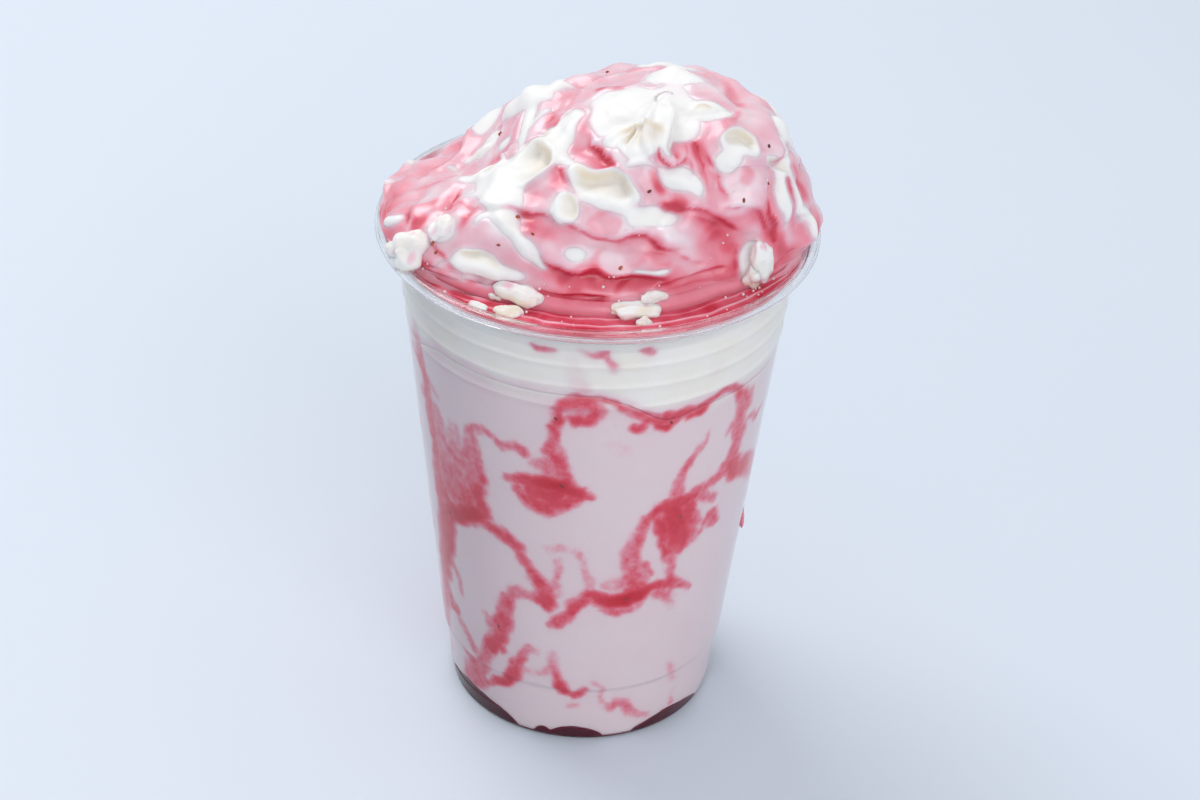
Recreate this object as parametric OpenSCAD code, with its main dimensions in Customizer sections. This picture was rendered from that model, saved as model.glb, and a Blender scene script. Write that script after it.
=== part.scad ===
// Strawberry milkshake in a clear plastic cup, with a whipped-cream mound and strawberry sauce.
// Millimetres, +Z up. The origin is the centre of the circle that the cup stands on.
// Azimuths are degrees seen from above, from +X towards +Y. The front of the drink faces -Y.

/* [Cup] */
// Outer diameter of the rolled rim
rim_d = 98; // [86:1:118]
// Height from the table to the top of the rim
cup_h = 123; // [100:1:150]
// Thickness of the clear wall
wall_t = 0.5; // [0.4:0.05:0.7]
// Thickness of the floor
floor_t = 0.6; // [0.5:0.05:1]
// Diameter of the curled bead at the rim
bead_d = 2.8; // [2.4:0.1:3.4]
// Height of the flare under the bead
flare_h = 8; // [6.5:0.5:10]
// Outer diameter of the wall where the flare starts
wall_top_d = 87.6; // [73:0.2:90]
// Outer diameter of the wall just above the foot section
wall_low_d = 66.6; // [55:0.2:72]
// Outer diameter at the top of the foot section
foot_top_d = 65; // [54:0.2:71]
// Outer diameter at the bottom of the foot section
foot_d = 62; // [51:0.2:70]
// Height of the foot section, up to the step in the wall
foot_h = 15.5; // [10:0.5:22]
// Height by which the middle of the floor is pushed up
punt_h = 3; // [2:0.25:3.5]
// Width of the ring that the cup stands on
foot_ring_w = 3.5; // [2.5:0.25:5]
// How far each stacking rib stands out of the wall
rib_out = 0.3; // [0.2:0.05:0.6]
// Height of each stacking rib
rib_h = 1.4; // [0.8:0.1:2]

/* [Drink] */
// Depth from the rim down to where cream meets shake, in its deeper half at the wall
cream_depth = 26.2; // [21:0.2:34]
// How much higher cream meets shake on the other half of the wall
cream_step = 6.4; // [0:0.2:8]
// Depth of the cream's underside below the rim in the middle
cream_mid_depth = 19; // [15:0.5:26]
// Height of the syrup's lowest edge above the floor, at the wall
syrup_film = 0.4; // [0.3:0.05:0.8]
// Height of the syrup's highest edge above its lowest, at the wall
syrup_peak = 5.6; // [2:0.2:8]

/* [Topping] */
// Height of the cream's peak above the rim
mound_h = 31.5; // [24:0.5:40]
// How far the peak leans towards +X
lean_x = 14.5; // [0:0.5:16]
// How far the peak leans towards +Y
lean_y = 0; // [-4:0.5:4]
// How steeply the cream falls away from its peak, where 1 is a dome and 2 is a cone
fall = 1.15; // [0.95:0.05:1.5]
// How much steeper it falls towards -X than towards +X
fall_x = 0.33; // [0:0.01:0.4]
// How much steeper it falls towards -Y than towards +Y
fall_y = 0.14; // [0:0.01:0.3]
// How far the cream spills over the rim at its sides
spill = 1.7; // [0:0.1:1.8]
// Height of the folds of the piped cream
fold_h = 2.2; // [1:0.1:2.8]
// Number of turns that the piped fold makes from rim to peak
fold_turns = 3.6; // [2.6:0.2:4.6]
// Depth of the sauce's surface below the rim
pool_drop = 2; // [1.8:0.1:3]
// Deepest part of the sauce pooled inside the rim
pool_depth = 4; // [2:0.25:4.5]
// Widest part of the sauce pooled inside the rim
pool_w = 9; // [5:0.5:11]

/* [Hidden] */

n_az = 72;            // azimuth steps round the drink
n_rise = 22;          // rings of the mound from rim to peak
n_curl = 18;          // straight edges of the bead's curl
curl_end = -130;      // angle at which the curl of the bead ends, from its centre
step_h = 1;           // height of the step above the foot section
corner_r = 1.5;       // rounding under the foot
ledge_w = 0.4;        // narrowest ledge of cream inside the wall
over_rim = 0.15;      // clearance of the cream from the bead

foot_r = foot_d / 2;
bead_r = bead_d / 2;
bead_c = [rim_d / 2 - bead_r, cup_h - bead_r];
bead_in_r = rim_d / 2 - bead_d;
flare_z = cup_h - flare_h;
cone_z = foot_h + step_h;
floor_z = punt_h + floor_t;
punt_r = foot_r - foot_ring_w - 2 * punt_h;
slope = (foot_top_d / 2 - foot_r) / foot_h;
rib_zs = [cup_h - 12, cup_h - 17.5, cup_h - 23];
foot_rib_z = 4;       // height of the fine ring on the foot section
foot_rib_h = 0.8;
foot_rib_out = 0.15;
rise_power = 1.55;    // above 1, the mound rises gently from the rim before it steepens
lean_power = 1.3;     // above 1, the mound leans more towards its peak
fold_start = 0.12;    // share of a turn by which the fold starts ahead of +X
fold_round = 0.7;     // below 1, the ridges are fuller and their valleys sharper
fold_mean = 0.6;      // share of the fold's height that lies inwards of the plain mound
lobe_reach = 0.16;    // share of the rise over which a lobe fades
soft_start = 0.08;    // share of the rise over which the folds grow from the rim
soft_end = 0.12;      // share of the rise over which they fade into the peak
syrup_in = 0.55;      // where the syrup's top edge lies, as a share of the foot ring's width
syrup_dip = 0.3;      // height of that edge, as a share of the height at the wall
n_corner = 5;         // straight edges of the rounding under the foot
dry = 0.02;           // share of the pool's depth below which there is no sauce

// Radius of the cup's inner surface at height z, on its three straight stretches
function along(z, z0, r0, z1, r1) = r0 + (r1 - r0) * (z - z0) / (z1 - z0);
function inner_r(z) =
    z <= foot_h ? foot_r - wall_t + slope * z :
    z <= cone_z ? along(z, foot_h, foot_top_d / 2 - wall_t, cone_z, wall_low_d / 2 - wall_t) :
    z <= flare_z ? along(z, cone_z, wall_low_d / 2 - wall_t, flare_z, wall_top_d / 2 - wall_t) :
    along(z, flare_z, wall_top_d / 2 - wall_t, cup_h - bead_r, bead_in_r);
function outer_r(z) = inner_r(z) + wall_t;

// Points of an arc about a centre, from one angle to another
function arc(c, r, from, to, n) =
    [for (i = [0:n]) let (t = from + (to - from) * i / n) [c[0] + r * cos(t), c[1] + r * sin(t)]];

// One rib of the outer profile, from its lower edge to its upper
function rib(z, out, h) = [
    [outer_r(z), z],
    [outer_r(z) + out, z + h * 0.3],
    [outer_r(z) + out, z + h * 0.7],
    [outer_r(z + h), z + h]
];
function stacking_rib(i) = rib(rib_zs[i], rib_out, rib_h);

// The cup's section, from the underside's centre round the bead to the floor's centre
function cup_profile() = concat(
    [[0, punt_h], [punt_r - floor_t / 2, punt_h], [foot_r - foot_ring_w - floor_t / 2, 0]],
    arc([foot_r - corner_r, corner_r], corner_r, -90, 0, n_corner),
    rib(foot_rib_z, foot_rib_out, foot_rib_h),
    [[foot_top_d / 2, foot_h], [wall_low_d / 2, cone_z]],
    stacking_rib(2), stacking_rib(1), stacking_rib(0),
    [[wall_top_d / 2, flare_z], [outer_r(bead_c[1] - bead_r / 2), bead_c[1] - bead_r / 2]],
    arc(bead_c, bead_r - wall_t, 180, curl_end, n_curl),
    arc(bead_c, bead_r, curl_end, 180, n_curl),
    [
        [inner_r(flare_z), flare_z],
        [inner_r(cone_z), cone_z],
        [inner_r(foot_h), foot_h],
        [inner_r(floor_t), floor_t],
        [foot_r - foot_ring_w, floor_t],
        [punt_r, floor_z],
        [0, floor_z]
    ]
);

// A smooth bump of height 1 at azimuth c, that fades to nothing w degrees away
function turn(a, c) = abs(((a - c) % 360 + 540) % 360 - 180);
function bump(a, c, w) = turn(a, c) >= w ? 0 : pow(cos(90 * turn(a, c) / w), 2);

// Height at which cream and shake meet at the wall, and at a share q of the wall's radius
function meet_z(a) = cup_h - cream_depth
    + cream_step * (min(1, 1.7 * bump(a, 245, 62)) + 0.5 * bump(a, 80, 56) - 0.4 * bump(a, 293, 13));
function meet(a, q) = let (z = meet_z(a), mid = cup_h - cream_mid_depth)
    point(a, inner_r(z) * q, mid + (z - mid) * q * q);

// Height of the syrup's edge at the wall: a film with lobes that climb the wall
syrup_lobes = [[219, 34, 1], [262, 15, 0.6], [314, 22, 0.62], [20, 30, 0.5], [92, 36, 0.75], [150, 22, 0.4]];
function most(v, i = 0) = i == len(v) - 1 ? v[i] : max(v[i], most(v, i + 1));
function climb(a) = most([for (l = syrup_lobes) l[2] * bump(a, l[0], l[1])]);
function syrup_z(a) = floor_t + syrup_film + syrup_peak * climb(a);

// How strongly the sauce pools inside the rim at an azimuth, from 0 to 1
function pooled(a) = min(1, 1.6 * bump(a, 278, 82));
function pool_z() = cup_h - pool_drop;

// A point at an azimuth, radius and height
function point(a, r, z) = [r * cos(a), r * sin(a), z];

// Folds of the piped cream: rounded ridges with creased valleys, that climb as a spiral
function fold(a, u) = pow(abs(sin(180 * (fold_turns * u + a / 360 + fold_start))), fold_round) - fold_mean;
// Broad lobes of the cream, and hollows below 0: [azimuth, share of the rise, width in degrees, height]
cream_lobes = [
    [205, 0.16, 34, 1.6], [236, 0.38, 36, 2.4], [318, 0.50, 34, 2.2], [75, 0.45, 46, 2.4], [278, 0.74, 40, 2],
    [146, 0.52, 24, 1.4], [190, 0.44, 36, -3.4], [12, 0.36, 26, -1.4], [110, 0.20, 40, 1.5]
];
function lobe(a, u, l) = l[3] * bump(a, l[0], l[2]) * exp(-pow((u - l[1]) / lobe_reach, 2));
function lobes(a, u, i = 0) = i == len(cream_lobes) ? 0 : lobe(a, u, cream_lobes[i]) + lobes(a, u, i + 1);
// How far the mound swells outwards at an azimuth and a share of the rise
function swell(a, u) = let (grow = min(1, u / soft_start), shut = min(1, (1 - u) / soft_end))
    grow * (fold_h * fold(a, u) * shut + lobes(a, u));
// Radius at which the mound stands on the rim or in the pool
function mound_foot_r(a) = bead_in_r - over_rim - (pool_w + ledge_w) * pooled(a)
    + (spill + over_rim) * (bump(a, 182, 50) + bump(a, 2, 46) + 0.5 * bump(a, 90, 60));
function mound(a, u) =
    let (
        rise = 90 * u,
        s = swell(a, u),
        r = mound_foot_r(a) * pow(cos(rise), fall - fall_x * cos(a) - fall_y * sin(a)) + s * cos(rise),
        z = cup_h + 2 * over_rim + mound_h * pow(sin(rise), rise_power) + s * sin(rise),
        lean = pow(u, lean_power)
    )
    point(a, r, z) + [lean_x * lean, lean_y * lean, 0];

azimuths = [for (i = [0:n_az - 1]) 360 * i / n_az];
function ring(r, z) = [for (a = azimuths) point(a, r, z)];
function wall_ring(z) = ring(inner_r(z), z);

// Rows that two pieces share
function syrup_wall_row() = [for (a = azimuths) point(a, inner_r(syrup_z(a)), syrup_z(a))];
function syrup_top_z(a) = let (low = floor_t + syrup_film) low + syrup_dip * (syrup_z(a) - low);
function syrup_top_row() = [for (a = azimuths) point(a, foot_r - foot_ring_w * syrup_in, syrup_top_z(a))];
function syrup_punt_row() = let (rise = syrup_film) ring(foot_r - foot_ring_w - 2 * rise, floor_t + rise);
function meet_row(q) = [for (a = azimuths) meet(a, q)];
function pool_floor_z(a) = pool_z() - pool_depth * pooled(a);
function pool_wall_row() = [for (a = azimuths) point(a, inner_r(pool_floor_z(a)), pool_floor_z(a))];
function pool_inner_row() = [for (a = azimuths)
    point(a, inner_r(pool_z()) - ledge_w - pool_w * pooled(a), pool_z())];
function over_rim_row() = [for (a = azimuths)
    point(a, bead_in_r - over_rim - (pool_w + ledge_w) * pooled(a), cup_h + over_rim)];

// Two triangles for each step between two closed rows of n points that start at indices s and e
function band(s, e, n, flip) = [for (i = [0:n - 1]) let (k = (i + 1) % n)
    each (flip ?
        [[s + i, e + k, s + k], [s + i, e + i, e + k]] :
        [[s + i, e + i, s + k], [s + k, e + i, e + k]])];
// Triangles from a closed row of n points at index s to a pole
function fan(s, n, pole, flip) = [for (i = [0:n - 1]) let (k = (i + 1) % n)
    flip ? [s + k, s + i, pole] : [s + i, s + k, pole]];

// A closed surface over rows of points. flips lists the bands whose quads are split the other way.
// With poles it is capped by a fan at each end, and without them its last row joins its first.
module skin(rows, poles = [], flips = [], inside_out = false) {
    n = len(rows[0]);
    m = len(rows);
    last = len(poles) ? m - 2 : m - 1;
    bands = [for (j = [0:last]) each band(j * n, ((j + 1) % m) * n, n, len(search(j, flips)) > 0)];
    caps = len(poles) ? concat(fan(0, n, m * n, false), fan((m - 1) * n, n, m * n + 1, true)) : [];
    faces = concat(bands, caps);
    points = concat([for (row = rows) each row], poles);
    polyhedron(points, inside_out ? [for (f = faces) [f[0], f[2], f[1]]] : faces);
}

// Clear cup with a stepped foot, stacking ribs and a curled rim
module cup() {
    color([0.93, 0.96, 0.98, 0.35]) rotate_extrude($fn = 144) polygon(cup_profile());
}

// Pale pink shake, from the syrup up to the cream
module milkshake() {
    color([0.93, 0.83, 0.87]) skin(
        [
            ring(punt_r, floor_z), syrup_punt_row(), syrup_top_row(), syrup_wall_row(),
            wall_ring(foot_h), wall_ring(cone_z), meet_row(1), meet_row(0.8), meet_row(0.5)
        ],
        poles = [[0, 0, floor_z], meet(0, 0)]
    );
}

// Whipped cream, from the shake up over the rim to its leaning peak
module whipped_cream() {
    color([0.98, 0.96, 0.94]) skin(
        concat(
            [meet_row(0.5), meet_row(0.8), meet_row(1), wall_ring(flare_z)],
            [pool_wall_row(), pool_inner_row(), over_rim_row()],
            [for (k = [0:n_rise - 1]) [for (a = azimuths) mound(a, k / n_rise)]]
        ),
        poles = [meet(0, 0), mound(0, 1)],
        flips = [0, 1]
    );
}

// Dark syrup settled in the groove of the floor
module base_syrup() {
    color([0.42, 0.05, 0.12]) skin(
        [
            syrup_punt_row(), ring(foot_r - foot_ring_w, floor_t), wall_ring(floor_t),
            syrup_wall_row(), syrup_top_row()
        ],
        flips = [3, 4]
    );
}

// Red sauce pooled between the mound and the rim, as a crescent that thins out at both ends
module rim_sauce() {
    wet = [for (i = [0:n_az - 1]) if (pooled(azimuths[i]) > dry) i];
    low = pool_wall_row();
    inner = pool_inner_row();
    color([0.80, 0.16, 0.27]) skin(
        [for (i = wet) [low[i], inner[i], point(azimuths[i], inner_r(pool_z()), pool_z())]],
        poles = [low[wet[0] - 1] * 0.5 + inner[wet[0] - 1] * 0.5,
                 low[wet[len(wet) - 1] + 1] * 0.5 + inner[wet[len(wet) - 1] + 1] * 0.5],
        inside_out = true
    );
}

cup();
milkshake();
whipped_cream();
base_syrup();
rim_sauce();
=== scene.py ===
"""Strawberry milkshake in a clear cup: the finish of every piece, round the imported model.

Lengths are in millimetres until a piece is made; the floor, the lamps and the camera are in metres.
Azimuths are degrees seen from above, from +X towards +Y, and the front of the drink faces -Y. The
rise of a point on the cream's mound runs from 0 at the rim to 1 at the peak.
"""

import math

import bpy
import numpy as np
from mathutils import Matrix, Vector


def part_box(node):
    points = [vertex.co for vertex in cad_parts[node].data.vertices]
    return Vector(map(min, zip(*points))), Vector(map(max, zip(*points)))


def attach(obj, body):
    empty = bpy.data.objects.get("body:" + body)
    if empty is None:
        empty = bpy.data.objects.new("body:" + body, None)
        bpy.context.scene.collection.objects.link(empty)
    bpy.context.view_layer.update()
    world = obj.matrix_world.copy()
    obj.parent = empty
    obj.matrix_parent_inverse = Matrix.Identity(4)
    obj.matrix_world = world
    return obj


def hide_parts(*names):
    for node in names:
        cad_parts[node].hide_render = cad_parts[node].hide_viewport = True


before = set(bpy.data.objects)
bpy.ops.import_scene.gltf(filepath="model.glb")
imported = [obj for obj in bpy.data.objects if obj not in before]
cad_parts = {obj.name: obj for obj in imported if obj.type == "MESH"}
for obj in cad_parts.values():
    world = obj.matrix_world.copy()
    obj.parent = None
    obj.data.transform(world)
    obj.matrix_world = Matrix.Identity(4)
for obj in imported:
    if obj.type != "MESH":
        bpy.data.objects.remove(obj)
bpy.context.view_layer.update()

MM = 0.001
TAU = 2 * math.pi


# ---------------------------------------------------------------- sizes of the cup and its contents

def corners(node):
    """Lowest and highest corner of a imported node, in millimetres."""
    low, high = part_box(node)
    return np.array(low) / MM, np.array(high) / MM


RIM_R = corners("cup")[1][0]
CUP_H = corners("cup")[1][2]
POOL_Z = corners("rim_sauce")[1][2]

WALL_T = 0.5
FLOOR_T = 0.6
PUNT_H = 3.0
FOOT_R = 31.0
FOOT_RING_W = 3.5
FOOT_H = 15.5
STEP_H = 1.0
FLARE_H = 8.0
BEAD_R = 1.4
FOOT_TOP_R = 32.5
WALL_LOW_R = 33.3
WALL_TOP_R = 43.8
BEAD_IN_R = RIM_R - 2 * BEAD_R
FLOOR_Z = PUNT_H + FLOOR_T
PUNT_R = FOOT_R - FOOT_RING_W - 2 * PUNT_H
SINK = 0.12         # how far what fills the cup reaches into its wall

WALL_Z = [0, FOOT_H, FOOT_H + STEP_H, CUP_H - FLARE_H, CUP_H - BEAD_R]
WALL_IN_R = [FOOT_R - WALL_T, FOOT_TOP_R - WALL_T, WALL_LOW_R - WALL_T, WALL_TOP_R - WALL_T, BEAD_IN_R]

RIB_DEPTHS = (12.0, 17.5, 23.0)
RIB_OUT = 0.3
RIB_HALF = 0.75


def inner_r(z):
    """Radius of the cup's inner surface: straight stretches between the step, the flare and the rim."""
    return np.interp(z, WALL_Z, WALL_IN_R)


def filled_r(z):
    """Radius of what fills the cup: just into its wall, and a little more behind each rib."""
    ribs = sum(bell(z - CUP_H + depth, RIB_HALF) for depth in RIB_DEPTHS)
    return inner_r(z) + SINK + RIB_OUT * ribs


# ------------------------------------------------------------------------------ shared arithmetic

def sin_deg(a):
    """Sine of an angle in degrees."""
    return np.sin(np.radians(a))


def cos_deg(a):
    """Cosine of an angle in degrees."""
    return np.cos(np.radians(a))


def turn(a, centre):
    """Degrees between two azimuths, from 0 to 180."""
    return np.abs((a - centre + 540) % 360 - 180)


def bump(a, centre, width):
    """1 at an azimuth, and nothing width degrees away: the square of a cosine."""
    share = np.clip(turn(a, centre) / width, 0, 1)
    return cos_deg(90 * share) ** 2


def smooth(x):
    """0 below 0, 1 above 1, and an S curve between."""
    x = np.clip(x, 0, 1)
    return x * x * (3 - 2 * x)


def bell(x, width):
    """1 at 0 and fading both ways: e to the minus square of x over width."""
    return np.exp(-((x / width) ** 2))


def point(a, r, z):
    """Points at azimuths, radii and heights, as an array of x, y, z."""
    a, r, z = np.broadcast_arrays(a, r, z)
    return np.stack([r * cos_deg(a), r * sin_deg(a), z], -1).astype(float)


def waves(points, size, seed, count=9):
    """Uneven field about 0: a sum of sine waves of about that size in random directions."""
    rng = np.random.default_rng(seed)
    heading = rng.normal(size=(count, 3))
    heading /= np.linalg.norm(heading, axis=1)[:, None]
    pace = TAU / (size * rng.uniform(0.7, 1.5, count))
    phase = rng.uniform(0, TAU, count)
    return sum(
        np.sin(points @ heading[i] * pace[i] + phase[i]) for i in range(count)
    ) / math.sqrt(count)


def soften(field, passes):
    """A field on the mound's grid, averaged with its neighbours along both directions."""
    for _ in range(passes):
        field = 0.5 * field + 0.25 * (np.roll(field, 1, 1) + np.roll(field, -1, 1))
        up = np.vstack([field[1:], field[-1:]])
        down = np.vstack([field[:1], field[:-1]])
        field = 0.5 * field + 0.25 * (up + down)
    return field


# ---------------------------------------------------------------------------------- making meshes

def make_piece(name, points, faces, material, fields=None, level=0):
    """A mesh piece from points in millimetres and faces, with number fields on its points."""
    mesh = bpy.data.meshes.new(name)
    mesh.from_pydata((np.asarray(points) * MM).tolist(), [], faces)
    mesh.polygons.foreach_set("use_smooth", [True] * len(mesh.polygons))
    for key, values in (fields or {}).items():
        layer = mesh.attributes.new(key, "FLOAT", "POINT")
        layer.data.foreach_set("value", np.asarray(values, dtype=np.float32).ravel())
    mesh.materials.append(material)
    piece = bpy.data.objects.new(name, mesh)
    bpy.context.scene.collection.objects.link(piece)
    if level:
        smoother = piece.modifiers.new("smooth", "SUBSURF")
        smoother.levels = level
        smoother.render_levels = level
    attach(piece, "root")
    return piece


def grid_faces(rows, columns, start=0, looped=False):
    """Quads between rows of points, each row closed, that face outwards when columns run round and
    rows run up. Looped rows end where they began."""
    j = np.arange(rows if looped else rows - 1)[:, None]
    i = np.arange(columns)[None, :]
    k = (i + 1) % columns
    low, high = start + j * columns, start + (j + 1) % rows * columns
    quads = np.stack(np.broadcast_arrays(low + i, low + k, high + k, high + i), -1)
    return quads.reshape(-1, 4).tolist()


def fan_faces(first, columns, pole, top):
    """Triangles between a closed row that starts at index first and a pole above or below it."""
    i = np.arange(columns)
    k = (i + 1) % columns
    pair = (first + i, first + k) if top else (first + k, first + i)
    return np.stack([pair[0], pair[1], np.full(columns, pole)], -1).tolist()


def skin(rows, start=0):
    """Points and faces of a closed body whose first point has index start: rows of points from its
    lowest pole up to its highest, each closed, with poles at the mean of the first and last row."""
    rows = np.asarray(rows)
    n, columns = rows.shape[:2]
    poles = [rows[0].mean(0), rows[-1].mean(0)]
    points = np.vstack([rows.reshape(-1, 3), poles])
    pole = start + n * columns
    faces = grid_faces(n, columns, start)
    faces += fan_faces(start, columns, pole, False)
    faces += fan_faces(pole - columns, columns, pole + 1, True)
    return points, faces


def gather(lumps):
    """Points and faces of several closed lumps in one mesh."""
    points, faces, start = [], [], 0
    for rows in lumps:
        spots, sides = skin(rows, start)
        points.append(spots)
        faces += sides
        start += len(spots)
    return np.vstack(points), faces


def with_poles(field):
    """A field on skin's rows, with its values at the two poles added."""
    field = np.asarray(field)
    return np.concatenate([field.ravel(), [field[0].mean(), field[-1].mean()]])


# ------------------------------------------------------------------------------- making materials

class Value:
    """A shader socket that takes Python's arithmetic: each sign adds one Math node."""

    def __init__(self, finish, socket):
        self.finish = finish
        self.socket = socket

    def math(self, operation, *others):
        """A Math node on this value and others."""
        inputs = dict(enumerate((self, *others)))
        return self.finish.add("ShaderNodeMath", {"operation": operation}, inputs)

    def __add__(self, other):
        return self.math("ADD", other)

    def __mul__(self, other):
        return self.math("MULTIPLY", other)

    def __sub__(self, other):
        return self.math("SUBTRACT", other)

    def __rsub__(self, other):
        return self.finish.add("ShaderNodeMath", {"operation": "SUBTRACT"}, {0: other, 1: self})

    __radd__ = __add__
    __rmul__ = __mul__

    def clamp(self):
        """The value, kept between 0 and 1."""
        return self.finish.add("ShaderNodeClamp", {}, {0: self})


class Finish:
    """A material under construction, with add() for any node."""

    MIX_COLOURS_IN, MIX_COLOUR_OUT = (6, 7), 2      # a Mix node's sockets for colours

    def __init__(self, name):
        self.material = bpy.data.materials.new(name)
        self.material.use_nodes = True
        self.tree = self.material.node_tree
        self.tree.nodes.clear()

    def add(self, kind, settings=None, inputs=None, out=0):
        """Adds a node: its settings first, a ramp's stops among them, then what its sockets hold."""
        node = self.tree.nodes.new(kind)
        for key, value in (settings or {}).items():
            if key == "stops":
                self.set_stops(node.color_ramp, value)
            else:
                setattr(node, key, value)
        for key, value in (inputs or {}).items():
            if isinstance(value, Value):
                self.tree.links.new(value.socket, node.inputs[key])
            else:
                node.inputs[key].default_value = value
        return Value(self, node.outputs[out])

    @staticmethod
    def set_stops(ramp, stops):
        """Places a ramp's colours: pairs of a position and a colour."""
        while len(ramp.elements) < len(stops):
            ramp.elements.new(1.0)
        for element, (position, colour) in zip(ramp.elements, stops):
            element.position = position
            element.color = (*colour, 1)

    def place(self):
        """The point's place in the object, in millimetres."""
        spot = self.add("ShaderNodeTexCoord", {}, {}, "Object")
        return self.add("ShaderNodeVectorMath", {"operation": "SCALE"}, {0: spot, "Scale": 1 / MM})

    def field(self, name):
        """A number field of the piece."""
        return self.add("ShaderNodeAttribute", {"attribute_name": name}, {}, "Fac")

    def noise(self, place, size, detail=2.0, rough=0.5, warp=0.0):
        """Noise from 0 to 1 whose lumps are about size millimetres across."""
        inputs = {"Vector": place, "Scale": 1 / size, "Detail": detail}
        inputs |= {"Roughness": rough, "Distortion": warp}
        return self.add("ShaderNodeTexNoise", {}, inputs)

    def ramp(self, value, stops):
        """Colours along a value."""
        return self.add("ShaderNodeValToRGB", {"stops": stops}, {0: value})

    def mix(self, factor, first, second):
        """A mix of two colours."""
        node = self.add("ShaderNodeMix", {"data_type": "RGBA"}, {0: factor}, self.MIX_COLOUR_OUT)
        for index, colour in zip(self.MIX_COLOURS_IN, (first, second)):
            socket = node.socket.node.inputs[index]
            if isinstance(colour, Value):
                self.tree.links.new(colour.socket, socket)
            else:
                socket.default_value = (*colour, 1)
        return node

    def bump(self, height, depth):
        """A normal bent by a height from 0 to 1 that stands for depth millimetres."""
        return self.add("ShaderNodeBump", {}, {"Strength": 1.0, "Distance": depth * MM, "Height": height})

    def surface(self, **inputs):
        """The Principled shader, with socket names written with underscores."""
        named = {key.replace("_", " "): value for key, value in inputs.items()}
        if isinstance(named["Base Color"], tuple):
            named["Base Color"] = (*named["Base Color"], 1)
        return self.add("ShaderNodeBsdfPrincipled", {}, named)

    def finish(self, shader):
        """The material, once its shader is plugged in."""
        output = self.tree.nodes.new("ShaderNodeOutputMaterial")
        self.tree.links.new(shader.socket, output.inputs["Surface"])
        return self.material


WHITE_CREAM = (0.885, 0.89, 0.90)
WARM_CREAM = (0.875, 0.865, 0.84)
# biscuit tan: a warm tint of the cream, and also painted shade inside the scoops' hollows and under their
# upper edges
BISCUIT_AND_SHADE = (0.80, 0.66, 0.47)
PALE_SHAKE = (0.795, 0.71, 0.745)
PINK_SHAKE = (0.775, 0.645, 0.70)
CREAM_IN_SHAKE = (0.83, 0.815, 0.79)

# the sauce from barely staining the cream to deep red
TONES_OF_SAUCE = [
    (0.0, (0.875, 0.84, 0.865)),
    (0.14, (0.865, 0.70, 0.755)),
    (0.32, (0.84, 0.50, 0.585)),
    (0.52, (0.83, 0.30, 0.385)),
    (0.74, (0.76, 0.125, 0.19)),
    (1.0, (0.58, 0.03, 0.065)),
]
# the sauce as it shows through the wall, over pale pink shake
TONES_AT_WALL = [
    (0.0, (0.78, 0.70, 0.74)),
    (0.20, (0.78, 0.53, 0.60)),
    (0.42, (0.77, 0.27, 0.36)),
    (0.66, (0.74, 0.095, 0.15)),
    (1.0, (0.60, 0.022, 0.045)),
]
# the settled syrup, from a thick layer to a thin one
TONES_OF_SYRUP = [(0.0, (0.075, 0.004, 0.016)), (0.6, (0.15, 0.009, 0.03)), (1.0, (0.42, 0.06, 0.11))]
# the seeds, from the darkest to the palest
TONES_OF_SEEDS = [(0.3, (0.10, 0.010, 0.012)), (0.5, (0.30, 0.03, 0.02)), (0.7, (0.50, 0.13, 0.04))]


def clear_plastic():
    """Thin clear plastic: bends and mirrors light, and lets lamps through to what it holds."""
    f = Finish("clear_plastic")
    glass = f.surface(Base_Color=(0.99, 0.995, 0.997), Roughness=0.015, IOR=1.38, Transmission_Weight=1.0)
    passing = f.add("ShaderNodeBsdfTransparent", {}, {0: (0.97, 0.98, 0.985, 1)})
    lamp_ray = f.add("ShaderNodeLightPath", {}, {}, "Is Shadow Ray")
    return f.finish(f.add("ShaderNodeMixShader", {}, {0: lamp_ray, 1: glass, 2: passing}))


def shake_finish():
    """Pale pink shake: streaked with sauce by the piece's own field, with fine froth and bubbles."""
    f = Finish("shake")
    place = f.place()
    sauce = f.field("sauce")
    grain = f.noise(place, size=1.8, detail=4.0, rough=0.62)
    cloud = f.noise(place, size=14.0, detail=3.0)
    blotch = f.noise(place, size=5.0, detail=3.0, rough=0.55, warp=0.6)
    edge = sauce * (1 - sauce) * 4
    amount = sauce + (grain - 0.5) * 0.55 * edge + (blotch - 0.5) * 0.55 * edge
    froth = f.mix(cloud, PALE_SHAKE, PINK_SHAKE)
    streak = f.ramp(amount, TONES_AT_WALL)
    body = f.mix((amount * 4).clamp(), froth, streak)
    colour = f.mix(f.field("cream"), body, CREAM_IN_SHAKE)
    height = f.noise(place, size=0.8, detail=3.0) * 0.5 + sauce * 0.5
    return f.finish(f.surface(
        Base_Color=colour, Roughness=0.5, Specular_IOR_Level=0.08, Normal=f.bump(height, 0.15),
        Subsurface_Weight=0.25, Subsurface_Radius=(1.0, 0.6, 0.6), Subsurface_Scale=0.0015,
    ))


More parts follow.
